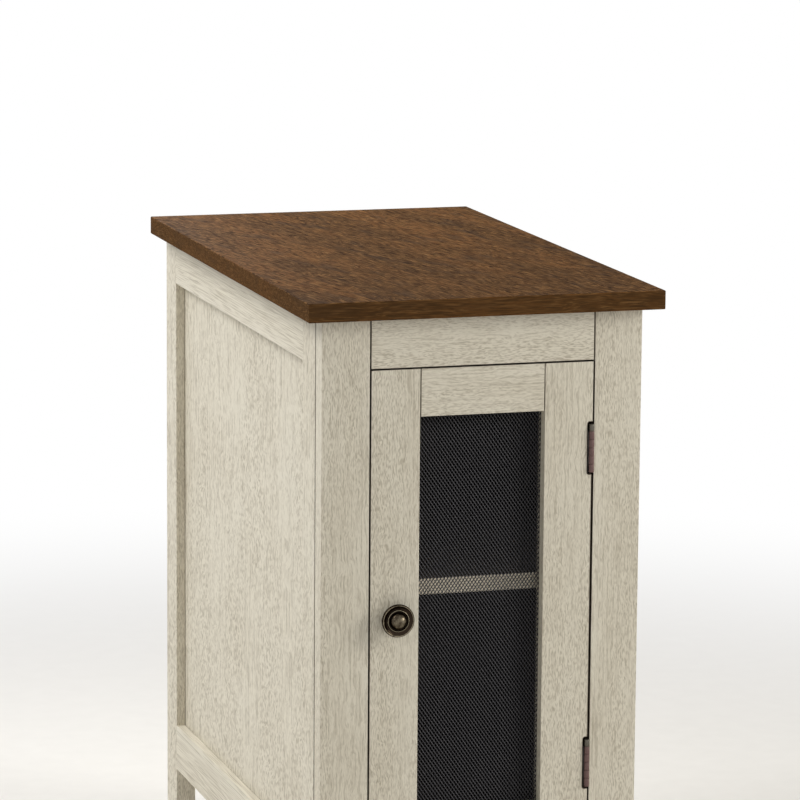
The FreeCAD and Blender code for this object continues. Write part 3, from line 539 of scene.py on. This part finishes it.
def add_grain(form, axis, seed, stretch, lean=0.0):
    """Write each corner's place in its board to the grain layer, with the grain's axis first.

    The two ends of a board are banded, so that the grain runs along them the longer way. Lean is how
    far the grain wanders towards +x on its way to the front.
    """
    low, high = corners_of([vertex.co for vertex in form.verts])
    size = high - low
    end_axis = max({ALONG_X, ALONG_Y, ALONG_Z} - {axis}, key=lambda index: size[index])
    layer = form.loops.layers.float_vector.new("grain")
    form.normal_update()
    for face in form.faces:
        first = end_axis if abs(face.normal[axis]) > END_COSINE else axis
        order = (first, (first + 1) % 3, (first + 2) % 3)
        for corner in face.loops:
            local = (corner.vert.co - low) / MM
            local.x += lean * local.y
            corner[layer] = Vector([local[index] / stretch[index] for index in order]) + SEED_STEP * seed


print("boards differ by steps of", list(SEED_STEP), "mm in their grain")

# %% [markdown]
# ## Painted shade in the joints
# Where two boards meet, a narrow dark line of shade shows. Light alone would leave it grey, because
# the render softens such thin gaps, so the shade is painted. Short rays are cast from each face, and
# the share that meets a solid is its mark. The marks could be set by hand, but rays find every joint.

# %% Marks for the joints
RAY_COUNT = 32
RAY_START = 0.1 * MM
JOINT_REACH = 6 * MM
FRONT_COSINE = 0.98
GOLDEN_ANGLE = math.pi * (3 - math.sqrt(5))


def all_solids():
    """Every solid of the frame in one tree that rays can be cast at."""
    points = []
    faces = []
    for node in nodes.values():
        start = len(points)
        points += [vertex.co for vertex in node.data.vertices]
        faces += [[start + index for index in polygon.vertices] for polygon in node.data.polygons]
    return BVHTree.FromPolygons(points, faces)


def fan_of_rays(count):
    """Directions spread over the half sphere about z, closer together near z."""
    rays = []
    for index in range(count):
        spread = math.sqrt((index + 0.5) / count)
        angle = index * GOLDEN_ANGLE
        rise = math.sqrt(1 - spread ** 2)
        rays.append(Vector((spread * math.cos(angle), spread * math.sin(angle), rise)))
    return rays


SOLIDS = all_solids()
FAN = fan_of_rays(RAY_COUNT)


# The cream finish paints shade on each face by how closed in it is.
def mark_joints(form):
    """Write to each face how closed in it is: the share of rays that soon meet another face.

    Faces that look to the front or to the back are no sides of a joint.
    """
    layer = form.faces.layers.float.new("closed")
    form.normal_update()
    for face in form.faces:
        turn = face.normal.to_track_quat("Z", "Y")
        start = face.calc_center_median() + face.normal * RAY_START
        hits = [SOLIDS.ray_cast(start, turn @ ray, JOINT_REACH)[0] for ray in FAN]
        faces_joint = abs(face.normal.y) < FRONT_COSINE
        face[layer] = faces_joint * sum(hit is not None for hit in hits) / len(hits)


print("joints are looked for with", RAY_COUNT, "rays from each face")

# %% [markdown]
# ## Painted shade inside
# Behind the mesh the cabinet is almost black, so its inside gets a dark brown painted shade, a
# little lighter on the shelf as painted light. A dark lining could be laid inside, but the real
# cabinet has none. So the faces that look into the cabinet are marked, and a board that reaches from
# inside to outside is first cut where the painted shade ends.

# %% Marks for the inside
INNER_MARGIN = 0.4 * MM
# The shelf has less painted shade: painted light where light falls in on it.
SHELF_SHADE_SHARE = 0.87
FACING_COSINE = 0.5
back_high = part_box("back_panel")[1]
floor_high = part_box("bottom_panel")[1]
panel_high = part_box("side_panel_left")[1]
stile_low, stile_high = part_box("front_stile_left")
inner_low = Vector((panel_high.x, stile_high.y, floor_high.z)) - Vector((1, 1, 1)) * INNER_MARGIN
inner_high = Vector((-inner_low.x, back_high.y, top_low.z))
inner_middle = (inner_low + inner_high) / 2


def mark_inside(form, node):
    """Write to each face how much painted shade it has: a little less on the shelf, none on its front."""
    layer = form.faces.layers.float.new("inside")
    for face in form.faces:
        spot = face.calc_center_median()
        within = all(inner_low[axis] <= spot[axis] <= inner_high[axis] for axis in range(3))
        if node == "shelf":
            inside_shade = SHELF_SHADE_SHARE * (face.normal.y > -FACING_COSINE)
        else:
            inside_shade = float(face.normal.dot(inner_middle - spot) > 0)
        face[layer] = within * inside_shade


def cut_across(form, axis, levels):
    """Cut a form's faces at some levels along an axis, so that each stretch has its own faces."""
    way = Vector([float(index == axis) for index in range(3)])
    for level in levels:
        geometry = [*form.verts, *form.edges, *form.faces]
        bmesh.ops.bisect_plane(form, geom=geometry, plane_co=way * level, plane_no=way)


print("inside:", [round(side / MM, 1) for side in inner_high - inner_low], "mm")

# %% [markdown]
# ## Hinge notches
# Each hinge's barrel lies in a notch in the door's edge, which shows a dark rim of shade. That shade is
# painted: the notch's faces are marked as dark as a joint. A dark piece could be laid in it, but marked
# faces add no solid.

# %% Marks for the notches
LINE_REACH = 0.05 * MM
NOTCH_REACH = 2.6 * MM
PIN_BOXES = [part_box(f"hinge_{level}_pin") for level in ("upper", "lower")]


def in_hinge_notch(spot):
    """Whether a spot on the door's edge lies in or at the rim of a hinge's notch."""
    return any(
        low.x - NOTCH_REACH < spot.x < high.x + LINE_REACH
        and low.z - NOTCH_REACH < spot.z < high.z + NOTCH_REACH
        for low, high in PIN_BOXES
    )


def mark_notches(form):
    """Mark the faces of the notches with the joints' painted shade, all but the front of the board."""
    layer = form.faces.layers.float["closed"]
    for face in form.faces:
        if in_hinge_notch(face.calc_center_median()) and face.normal.y > -FRONT_COSINE:
            face[layer] = 1.0


print("notches round", len(PIN_BOXES), "hinges")

# %% [markdown]
# ## Cream boards
# The cabinet and the door are made of boards whose grain runs along their length. Each could get its own
# lines, but only a few differ: front stiles and side posts are rounder where they meet, the notches have
# a soft rim, and the sides show a coarser grain. So one loop makes them all.

# %% Shapes of the boards
BOARD_EASE = 0.35 * MM
POST_EASE = 1.1 * MM
NOTCH_EASE = 0.8 * MM
SHORTEST_EDGE = 4.0 * MM
door_low, door_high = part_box("door_stile_knob_side")
rail_low, rail_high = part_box("front_bottom_rail")
STILE_LEVELS = (rail_low.z, rail_high.z, door_high.z)


def on_post_joint(spot):
    """Whether a spot lies on the line where a front stile meets a side post."""
    return math.hypot(abs(spot.x) + stile_low.x, spot.y - stile_high.y) < LINE_REACH


def on_notch_rim(spot):
    """Whether a spot lies on the front rim of a hinge's notch."""
    return abs(spot.y - door_low.y) < LINE_REACH and in_hinge_notch(spot)


def board_form(node):
    """A board with eased edges, cut where its joint or its stain ends."""
    if node.startswith(("front_stile", "side_front_post")):
        form = eased_solid(node, BOARD_EASE, SHORTEST_EDGE, on_post_joint, POST_EASE)
    elif node == "door_stile_hinge_side":
        form = eased_solid(node, BOARD_EASE, SHORTEST_EDGE, on_notch_rim, NOTCH_EASE)
    else:
        form = eased_solid(node, BOARD_EASE, SHORTEST_EDGE)
    if node.startswith("front_stile"):
        cut_across(form, ALONG_Z, STILE_LEVELS)
    if "_post_" in node:
        cut_across(form, ALONG_X, (panel_high.x, -panel_high.x))
    if node.startswith(("side_", "back_")):
        cut_across(form, ALONG_Z, (floor_high.z,))
    return form


def add_piece(name, form, node, slot, finish, smooth_angle=None):
    """Make an object of a form, in the place of its node and on that node's body."""
    mesh = bpy.data.meshes.new(name)
    form.to_mesh(mesh)
    form.free()
    mesh.materials.append(finish)
    if smooth_angle is not None:
        mesh.shade_smooth()
        mesh.set_sharp_from_angle(angle=smooth_angle)
    piece = bpy.data.objects.new(name, mesh)
    scene.collection.objects.link(piece)
    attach(piece, body_of_node[node])
    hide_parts(node)
    return piece


print("front stiles are cut at", [round(level / MM) for level in STILE_LEVELS], "mm")

# %% Every cream board
CREAM_BOARDS = {
    ALONG_X: (
        "front_apron", "front_bottom_rail", "back_top_rail", "back_bottom_rail", "shelf", "bottom_panel",
        "door_top_rail", "door_bottom_rail", "mesh_bead_top", "mesh_bead_bottom",
    ),
    ALONG_Y: (
        "side_top_rail_left", "side_top_rail_right", "side_bottom_rail_left", "side_bottom_rail_right",
    ),
    ALONG_Z: (
        "front_stile_left", "front_stile_right", "side_front_post_left", "side_front_post_right",
        "side_back_post_left", "side_back_post_right", "side_panel_left", "side_panel_right", "back_panel",
        "door_stile_knob_side", "door_stile_hinge_side", "mesh_bead_left", "mesh_bead_right",
    ),
}
PLAIN_GRAIN = Vector((1, 1, 1))
SIDE_GRAIN = Vector((1, 3.1, 1))
SIDE_RAIL_GRAIN = Vector((1, 9, 1))


def grain_stretch(node):
    """How far the grain of a board is stretched along x, y and z."""
    if not node.startswith("side_"):
        return PLAIN_GRAIN
    return SIDE_RAIL_GRAIN if "rail" in node else SIDE_GRAIN


boards = {}
for axis, members in CREAM_BOARDS.items():
    for node in members:
        form = board_form(node)
        add_grain(form, axis, len(boards) + 1, grain_stretch(node))
        mark_joints(form)
        if node == "door_stile_hinge_side":
            mark_notches(form)
        mark_inside(form, node)
        boards[node] = add_piece(f"{node}_board", form, node, "cream_wood", CREAM)
print("cream boards:", len(boards))

# %% [markdown]
# ## Painted light on the shelf's edge
# Through the mesh the shelf shows as one pale line, so its front edge is painted paler than the rest:
# painted light, as if the mesh cast no shadow on it. A thin strip could be laid on it, but a real edge
# band is too thin to see from the side. A second material on the front faces is enough.

# %% Pale edge
# Paler than the cream: painted light on the shelf's front edge.
EDGE_PAINTS = (paint(252, 243, 224), paint(244, 233, 213))


def painted_light_edge():
    shading = new_finish("painted_light_edge")
    hairs = grain_noise(shading, shading.mark("grain", "Vector"), size=(60.0, 1.2), shift=7.0)
    return shading.surface({
        "Base Color": shading.mix(hairs, *EDGE_PAINTS),
        "Roughness": 0.5 + 0.1 * hairs,
        "Specular IOR Level": SATIN_LEVEL,
    })


shelf_mesh = boards["shelf"].data
shelf_mesh.materials.append(painted_light_edge())
for polygon in shelf_mesh.polygons:
    polygon.material_index = int(polygon.normal.y < -FACING_COSINE)
print("pale faces on the shelf:", sum(polygon.material_index for polygon in shelf_mesh.polygons))

# %% [markdown]
# ## Top and cleats
# The top is one flat brown board with a banded edge, and four bare cleats under it and under the cabinet
# floor take the screws. The top's grain leans a little to one side, as it does in the photograph. The
# board could be turned for that, but then its edges would turn too, so only the grain leans.

# %% Top and cleats
TOP_LEAN = 0.23


def mark_edges(form):
    """Write to each upright face of a flat board that it is part of the board's edge."""
    layer = form.faces.layers.float.new("edge")
    for face in form.faces:
        face[layer] = float(abs(face.normal.z) < FACING_COSINE)


CLEATS = ("top_cleat_left", "top_cleat_right", "bottom_cleat_left", "bottom_cleat_right")
for node in CLEATS:
    form = eased_solid(node, BOARD_EASE, SHORTEST_EDGE)
    add_piece(f"{node}_strip", form, node, "bare_wood", BARE)

top_form = eased_solid("top_panel", BOARD_EASE, SHORTEST_EDGE)
add_grain(top_form, ALONG_Y, 0, PLAIN_GRAIN, TOP_LEAN)
mark_edges(top_form)
add_piece("top_panel_plank", top_form, "top_panel", "brown_wood", BROWN)
print("one top and", len(CLEATS), "cleats")

# %% [markdown]
# ## Door mesh
# The door holds a sheet of black expanded metal: slits are cut and pulled open into small diamonds, which
# leaves the strands slanting a little. A picture with holes could stand for it, but it would look flat
# from the side, so every hole is real. The strands of one direction are painted lighter, a painted sheen
# of the lamp that they face, which gives the mesh its slanting lines.

# %% Mesh finish
MESH_DUST = 900.0
PLAIN_STRANDS = (paint(43, 43, 45), paint(51, 50, 52))
# Lighter strands of one direction: a painted sheen.
SHEEN_STRANDS = (paint(78, 77, 81), paint(93, 92, 96))
MESH_LEVEL = 0.07


def mesh_metal():
    shading = new_finish("mesh_metal")
    dust = shading.speckle(MESH_DUST)
    plain = shading.mix(dust, *PLAIN_STRANDS)
    # The marked strands of one direction get a painted sheen.
    painted_sheen = shading.mix(dust, *SHEEN_STRANDS)
    return shading.surface({
        "Base Color": shading.mix(shading.mark("painted_sheen"), plain, painted_sheen),
        "Roughness": 0.35 + 0.1 * dust,
        "Specular IOR Level": MESH_LEVEL,
    })


MESH_METAL = mesh_metal()

# %% Mesh sheet
MESH_PITCH = 3.05 * MM
MESH_ROW = 4.4 * MM
HOLE_SHARE = 0.7
STRAND_SLANT = 0.3 * MM
STRAND_THICKNESS = 0.12 * MM
# The four corners of a diamond hole, as steps of half a pitch and half a row.
DIAMOND = ((1, 0), (0, 1), (-1, 0), (0, -1))


def mesh_sheet(node):
    """A sheet of slanting strands round staggered diamond holes, as large as the node."""
    low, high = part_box(node)
    columns = 2 * round((high.x - low.x) / MESH_PITCH)
    rows = 2 * round((high.z - low.z) / MESH_ROW)
    step_x = (high.x - low.x) / columns
    step_z = (high.z - low.z) / rows
    middle_y = (low.y + high.y) / 2
    sheet = bmesh.new()
    painted_sheen = sheet.faces.layers.float.new("painted_sheen")
    fronts = {}
    backs = {}

    def crossing(side, depth, column, row):
        """The point where four strands meet, made once for each side of the sheet."""
        if (column, row) not in side:
            side[column, row] = sheet.verts.new((low.x + column * step_x, depth, low.z + row * step_z))
        return side[column, row]

    holes = {(column, row) for column in range(1, columns) for row in range(1, rows) if (column + row) % 2}
    for column, row in sorted(holes):
        front = [crossing(fronts, middle_y - STRAND_THICKNESS / 2, column + x, row + z) for x, z in DIAMOND]
        back = [crossing(backs, middle_y + STRAND_THICKNESS / 2, column + x, row + z) for x, z in DIAMOND]
        rim = []
        for x, z in DIAMOND:
            rim_x = low.x + (column + HOLE_SHARE * x) * step_x
            rim_z = low.z + (row + HOLE_SHARE * z) * step_z
            rim.append(sheet.verts.new((rim_x, middle_y - STRAND_SLANT * z, rim_z)))
        for here in range(4):
            there = (here + 1) % 4
            strand_front = sheet.faces.new((front[here], front[there], rim[there], rim[here]))
            # Strands of one direction are marked for a painted sheen.
            strand_front[painted_sheen] = float(here % 2 == 0)
            sheet.faces.new((back[there], back[here], rim[here], rim[there]))
            beyond_x = DIAMOND[here][0] + DIAMOND[there][0]
            beyond_z = DIAMOND[here][1] + DIAMOND[there][1]
            if (column + beyond_x, row + beyond_z) not in holes:
                sheet.faces.new((front[there], front[here], back[here], back[there]))
    bmesh.ops.recalc_face_normals(sheet, faces=sheet.faces)
    print("mesh:", len(holes), "holes,", len(sheet.faces), "faces")
    return sheet


add_piece("door_mesh_sheet", mesh_sheet("door_mesh"), "door_mesh", "mesh_metal", MESH_METAL)

# %% [markdown]
# ## Turned forms
# The knob, the screws, the shelf pins and the glides are all round. A curve with a screw modifier could
# turn each, but one function turns any outline about any axis, and can write down how far each ring
# stands out.

# %% Turned forms
def turned_form(outline, spot, aim, sides):
    """Turn an outline of (radius, height) about an axis that starts at a spot.

    A point of the outline may have a third number, how far it stands out, for the wear of its finish.
    """
    form = bmesh.new()
    relief = form.verts.layers.float.new("relief")
    turn = Vector(aim).to_track_quat("Z", "Y").to_matrix()
    loops = []
    for radius, height, *proud in outline:
        loop = []
        for index in range(sides if radius > 0 else 1):
            angle = math.tau * index / sides
            local = Vector((radius * math.cos(angle), radius * math.sin(angle), height))
            vertex = form.verts.new(Vector(spot) + turn @ local)
            vertex[relief] = sum(proud)
            loop.append(vertex)
        loops.append(loop)
    for lower, upper in zip(loops, loops[1:]):
        for index in range(sides):
            after = (index + 1) % sides
            corners = [
                lower[index % len(lower)], lower[after % len(lower)],
                upper[after % len(upper)], upper[index % len(upper)],
            ]
            form.faces.new(list(dict.fromkeys(corners)))
    bmesh.ops.recalc_face_normals(form, faces=form.faces)
    return form


print("turned forms can be made")

# %% [markdown]
# ## Knob
# The knob is turned and plated to look like old bronze: a rolled rim, a cove, a thin raised ring and a
# polished dome. The plating is dark in the hollows and worn bright where hands touch it. A noise alone
# would wear it anywhere, so each ring of points carries how far it stands out. Subdivision then smooths
# the few points of the outline.

# %% Knob finish
KNOB_BLOTCH = 320.0
BLOTCH_DETAIL = 3.0
WEAR_FADE = (0.1, 1.0)
KNOB_PAINTS = (paint(48, 39, 31), paint(156, 146, 124))
KNOB_TINT = paint(120, 105, 85)


def knob_bronze():
    shading = new_finish("knob_bronze")
    blotch = shading.speckle(KNOB_BLOTCH, BLOTCH_DETAIL)
    wear = shading.soft_step(shading.mark("relief") + (blotch - NOISE_MIDDLE) * 0.9, *WEAR_FADE)
    return shading.surface({
        "Base Color": shading.mix(wear, *KNOB_PAINTS),
        "Metallic": 0.95,
        "Roughness": 0.15 + 0.38 * wear + 0.1 * blotch,
        "Specular Tint": KNOB_TINT,
    })


KNOB_BRONZE = knob_bronze()

# %% Knob form
KNOB_SIDES = 48
DOME_STEPS = 6
# Radius and height as shares of the knob's, and where it stands out, how worn it is.
KNOB_OUTLINE_SHARES = (
    (0.0, 0.0), (0.55, 0.0), (0.563, 0.01), (0.563, 0.085, 0.1), (0.54, 0.1), (0.42, 0.105), (0.4, 0.13),
    (0.4, 0.3), (0.44, 0.345), (0.86, 0.455), (0.955, 0.5), (0.995, 0.55), (1.0, 0.605), (0.985, 0.65),
    (0.95, 0.682, 0.2), (0.915, 0.684, 0.8), (0.893, 0.668, 0.3), (0.85, 0.644), (0.79, 0.618),
    (0.73, 0.6), (0.69, 0.596), (0.678, 0.612), (0.668, 0.655, 0.3), (0.648, 0.685, 0.8),
    (0.622, 0.685, 0.7), (0.604, 0.65, 0.1), (0.594, 0.6), (0.566, 0.585), (0.534, 0.594),
)
DOME_RADIUS_SHARE = 0.528
DOME_BASE_SHARE = 0.600
DOME_WEAR = 0.45


def knob_outline(radius, height):
    """The knob's outline from its foot to the middle of its dome."""
    points = list(KNOB_OUTLINE_SHARES)
    for step in range(DOME_STEPS):
        angle = math.pi / 2 * step / DOME_STEPS
        rise = DOME_BASE_SHARE + (1 - DOME_BASE_SHARE) * math.sin(angle)
        points.append((DOME_RADIUS_SHARE * math.cos(angle), rise, DOME_WEAR * math.sin(angle)))
    points.append((0.0, 1.0, DOME_WEAR))
    return [(radius * share, height * rise, *wear) for share, rise, *wear in points]


knob_low, knob_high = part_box("knob")
knob_foot = Vector(((knob_low.x + knob_high.x) / 2, knob_high.y, (knob_low.z + knob_high.z) / 2))
knob_points = knob_outline((knob_high.x - knob_low.x) / 2, knob_high.y - knob_low.y)
knob_form = turned_form(knob_points, knob_foot, (0, -1, 0), KNOB_SIDES)
knob = add_piece("knob_turning", knob_form, "knob", "knob_bronze", KNOB_BRONZE, math.pi)
smoothing = knob.modifiers.new("smoothing", "SUBSURF")
smoothing.levels = 1
smoothing.render_levels = 2
print("knob:", len(knob.data.vertices), "points before smoothing")

# %% [markdown]
# ## Hinges
# Two small butt hinges of red-brown bronze carry the door, and only their barrels show while it is shut.
# They could be turned anew, but their solids already have knuckles, gaps and a capped pin. So they are
# copied with rounded ends. The leaves get painted shade, as they sit in the gap of the notch, and the
# barrels stay red-brown.

# %% Hinge finishes
HINGE_BLOTCH = 420.0
LEAF_SHADE_PAINT = paint(30, 23, 21)
BARREL_PAINTS = (paint(84, 60, 57), paint(116, 88, 84))
PIN_PAINTS = (paint(80, 76, 68), paint(108, 103, 93))


def hinge_bronze():
    shading = new_finish("hinge_bronze")
    blotch = shading.speckle(HINGE_BLOTCH, BLOTCH_DETAIL)
    # The leaves get a dark painted shade; only the barrels show the bronze.
    colour = shading.mix(shading.mark("barrel"), LEAF_SHADE_PAINT, shading.mix(blotch, *BARREL_PAINTS))
    return shading.surface({"Base Color": colour, "Metallic": 0.2, "Roughness": 0.3 + 0.15 * blotch})


def spotted_metal(name, paints, metallic, roughness, scale, detail=2.0):
    """A metal whose colour and roughness change a little from spot to spot."""
    shading = new_finish(name)
    spots = shading.speckle(scale, detail)
    return shading.surface({
        "Base Color": shading.mix(spots, *paints),
        "Metallic": metallic,
        "Roughness": roughness + 0.15 * spots,
    })


HINGE_BRONZE = hinge_bronze()
PIN_BRONZE = spotted_metal(
    "pin_bronze", PIN_PAINTS, metallic=0.6, roughness=0.25, scale=HINGE_BLOTCH, detail=BLOTCH_DETAIL,
)

# %% Hinge pieces
HINGE_EASE = 0.3 * MM
BARREL_REACH = 2.35 * MM
ROUND_ANGLE = math.radians(35)
HINGE_FINISHES = {"frame_leaf": HINGE_BRONZE, "door_leaf": HINGE_BRONZE, "pin": PIN_BRONZE}


def mark_barrel(form, pin_box):
    """Write to each face whether it is on the barrel round a pin."""
    middle = sum(pin_box, Vector()) / 2
    layer = form.faces.layers.float.new("barrel")
    for face in form.faces:
        spot = face.calc_center_median()
        face[layer] = float(math.hypot(spot.x - middle.x, spot.y - middle.y) < BARREL_REACH)


for level, pin_box in zip(("upper", "lower"), PIN_BOXES):
    for part, finish in HINGE_FINISHES.items():
        node = f"hinge_{level}_{part}"
        form = eased_solid(node, HINGE_EASE, 0.0)
        mark_barrel(form, pin_box)
        add_piece(f"{node}_metal", form, node, "hinge_bronze", finish, ROUND_ANGLE)
print("hinges:", len(PIN_BOXES), "with", len(HINGE_FINISHES), "pieces each")

# %% [markdown]
# ## Finishes of the fittings
# Screws and pins are plated steel, the catch has an iron magnet in a brown plastic housing, and the
# glides are pale plastic. Plain colours would do from afar, but they would look like a toy's when the
# door is open, so each finish has fine spots and an uneven sheen.

# %% Fitting finishes
METAL_SPOTS = 700.0
STEEL_PAINTS = (paint(150, 146, 138), paint(190, 186, 178))
IRON_PAINTS = (paint(70, 70, 72), paint(104, 103, 103))
CATCH_PAINTS = (paint(92, 72, 54), paint(104, 83, 63))
GLIDE_PAINTS = (paint(205, 200, 188), paint(216, 211, 200))
PLASTIC_GRAIN = 1500.0
PLASTIC_BUMP = {"Strength": 0.15, "Distance": 0.1 * MM}


def moulded_plastic(name, paints):
    """A plastic with the fine grain of its mould."""
    shading = new_finish(name)
    grain = shading.speckle(PLASTIC_GRAIN)
    bump = shading.node("ShaderNodeBump", {}, {**PLASTIC_BUMP, "Height": grain})
    colour = shading.mix(grain, *paints)
    return shading.surface({"Base Color": colour, "Roughness": 0.42 + 0.15 * grain, "Normal": bump})


SCREW_STEEL = spotted_metal("screw_steel", STEEL_PAINTS, metallic=1.0, roughness=0.25, scale=METAL_SPOTS)
MAGNET_IRON = spotted_metal("magnet_iron", IRON_PAINTS, metallic=1.0, roughness=0.35, scale=METAL_SPOTS)
CATCH_PLASTIC = moulded_plastic("catch_plastic", CATCH_PAINTS)
GLIDE_PLASTIC = moulded_plastic("glide_plastic", GLIDE_PAINTS)

# %% [markdown]
# ## Places of the small turned pieces
# Identical screws share one node of the frame, as separate solids. Their places could be copied into a
# list, but a moved screw would then be left behind. So each node is split into islands of linked points,
# and each island gives its own axis, length and radii.

# %% Islands of a node
END_REACH = 10 * MERGE_DISTANCE


def islands(node):
    """The points of each separate solid of a node."""
    form = merged_solid(node)
    unseen = set(form.verts)
    found = []
    while unseen:
        island = set()
        edge_of_search = {min(unseen, key=lambda vertex: vertex.index)}
        while edge_of_search:
            island |= edge_of_search
            linked = {edge.other_vert(vertex) for vertex in edge_of_search for edge in vertex.link_edges}
            edge_of_search = linked - island
        unseen -= island
        found.append([vertex.co.copy() for vertex in island])
    form.free()
    return found


def axis_of(points):
    """The two ends of a turned solid's axis as (radius, centre), the thicker end first."""
    low, high = corners_of(points)
    size = high - low
    axis = max(range(3), key=lambda index: size[index])
    ends = []
    for level in (low[axis], high[axis]):
        centre = (low + high) / 2
        centre[axis] = level
        near = [point for point in points if abs(point[axis] - level) < END_REACH]
        ends.append((max((point - centre).length for point in near), centre))
    ends.sort(key=lambda end: -end[0])
    return ends


def turned_solids(node):
    """Each solid of a node as the middle of its thick end, the way from there, its length and radii."""
    for points in islands(node):
        (thick, start), (thin, end) = axis_of(points)
        yield start, (end - start).normalized(), (end - start).length, thick, thin


def join_forms(forms):
    """One form out of several."""
    joined = bmesh.new()
    for form in forms:
        carrier = bpy.data.meshes.new("carrier")
        form.to_mesh(carrier)
        form.free()
        joined.from_mesh(carrier)
        bpy.data.meshes.remove(carrier)
    return joined


print("solids found in top_screws:", len(islands("top_screws")))

# %% [markdown]
# ## Screws
# Each screw has a domed head with a cross recess and a shank with a point. A bump could draw the cross,
# but it would vanish from the side, so the recess is cut: the turned outline stops at a flat rim, and
# the cross with its walls and floor closes the head.

# %% Screws
SCREW_SIDES = 20
CROSS_SHARE = 0.55
CROSS_WIDTH_SHARE = 0.16
CROSS_DEPTH_SHARE = 0.55
CROSS_FLOOR_SHARE = 0.8
SCREWS_BY_HEAD = {
    2.4 * MM: ("top_screws", "cleat_screws", "knob_screw"),
    0.9 * MM: ("hinge_frame_screws", "hinge_door_screws", "catch_screws", "strike_screws"),
}


def screw_outline(length, shank, head, head_height):
    """From the tip of the shank to the rim of the flat on the domed head."""
    return [
        (0.0, length), (shank * 0.55, length * 0.95), (shank, length * 0.84), (shank, head_height * 1.02),
        (head * 0.96, head_height), (head, head_height * 0.8), (head * 0.97, head_height * 0.45),
        (head * 0.82, head_height * 0.12), (head * 0.62, 0.0),
    ]


def add_cross(form, spot, aim, head, head_height):
    """Close the head with a flat that has a cross recess."""
    turn = Vector(aim).to_track_quat("Z", "Y").to_matrix()
    reach = head * CROSS_SHARE
    half = head * CROSS_WIDTH_SHARE
    depth = head_height * CROSS_DEPTH_SHARE
    outline = []
    for index in range(4):
        quarter = Matrix.Rotation(math.pi / 2 * index, 2)
        outline += [quarter @ Vector(point) for point in ((reach, -half), (reach, half), (half, half))]
    tops = [form.verts.new(Vector(spot) + turn @ Vector((*point, 0.0))) for point in outline]
    inner = [point * CROSS_FLOOR_SHARE for point in outline]
    floors = [form.verts.new(Vector(spot) + turn @ Vector((*point, depth))) for point in inner]
    for index in range(len(outline)):
        form.faces.new((tops[index - 1], tops[index], floors[index], floors[index - 1]))
    form.faces.new(floors)
    bmesh.ops.bridge_loops(form, edges=[edge for edge in form.edges if edge.is_boundary])
    bmesh.ops.recalc_face_normals(form, faces=form.faces)


def screws(node, head_height):
    """All screws of a node in one form."""
    forms = []
    for start, way, length, head, shank in turned_solids(node):
        form = turned_form(screw_outline(length, shank, head, head_height), start, way, SCREW_SIDES)
        add_cross(form, start, way, head, head_height)
        forms.append(form)
    print(node, "screws:", len(forms))
    return join_forms(forms)


for head_height, members in SCREWS_BY_HEAD.items():
    for node in members:
        form = screws(node, head_height)
        add_piece(f"{node}_turned", form, node, "screw_steel", SCREW_STEEL, ROUND_ANGLE)

# %% [markdown]
# ## Shelf pins and glides
# Four steel pins carry the shelf, and four plastic glides with a nail keep the legs off the floor. Their
# solids have flat sides. They could be smoothed, but smoothing would shrink them, so both are turned
# anew from their own length and radii.

# %% Shelf pins and glides
PIN_SIDES = 24
PIN_ROUND = 0.8 * MM
GLIDE_SIDES = 32
GLIDE_PAD = 3.0 * MM
NAIL_SHARE = 0.9


def shelf_pin_outline(length, radius):
    """A plain pin with a small bevel at both ends."""
    return [
        (0.0, 0.0), (radius - PIN_ROUND, 0.0), (radius, PIN_ROUND),
        (radius, length - PIN_ROUND), (radius - PIN_ROUND, length), (0.0, length),
    ]


def glide_outline(length, radius, nail):
    """A pad with a rounded foot, and the nail above it."""
    return [
        (0.0, 0.0), (radius * 0.7, 0.0), (radius * 0.93, GLIDE_PAD * 0.3), (radius, GLIDE_PAD * 0.7),
        (radius, GLIDE_PAD), (nail, GLIDE_PAD), (nail, length * NAIL_SHARE), (0.0, length),
    ]


pin_forms = [
    turned_form(shelf_pin_outline(length, radius), start, way, PIN_SIDES)
    for start, way, length, radius, _ in turned_solids("shelf_pins")
]
glide_forms = [
    turned_form(glide_outline(length, radius, nail), start, way, GLIDE_SIDES)
    for start, way, length, radius, nail in turned_solids("floor_glides")
]
print("shelf pins:", len(pin_forms), "glides:", len(glide_forms))
pins = join_forms(pin_forms)
glides = join_forms(glide_forms)
add_piece("shelf_pins_turned", pins, "shelf_pins", "screw_steel", SCREW_STEEL, ROUND_ANGLE)
add_piece("floor_glides_moulded", glides, "floor_glides", "glide_plastic", GLIDE_PLASTIC, ROUND_ANGLE)

# %% [markdown]
# ## Catch and dowels
# A magnetic catch holds the door against a steel plate on its back, and dowels join the frames. The
# catch and the plate are copied with eased edges, as the boards are. The dowels lie wholly inside the
# boards, so a copy would never show, and their solids only get a finish.

# %% Catch, strike plate and dowels
FITTING_EASE = 0.3 * MM
FITTING_SHORTEST_EDGE = 0.7 * MM
FITTINGS = {
    "catch_housing": ("catch_plastic", CATCH_PLASTIC),
    "catch_magnet": ("magnet_iron", MAGNET_IRON),
    "strike_plate": ("screw_steel", SCREW_STEEL),
}
for node, (slot, finish) in FITTINGS.items():
    form = eased_solid(node, FITTING_EASE, FITTING_SHORTEST_EDGE)
    add_piece(f"{node}_fitting", form, node, slot, finish)
dowels = nodes["frame_dowels"]
dowels.data.materials.clear()
dowels.data.materials.append(BARE)
print("fittings:", list(FITTINGS), "and dowels in", BARE.name)
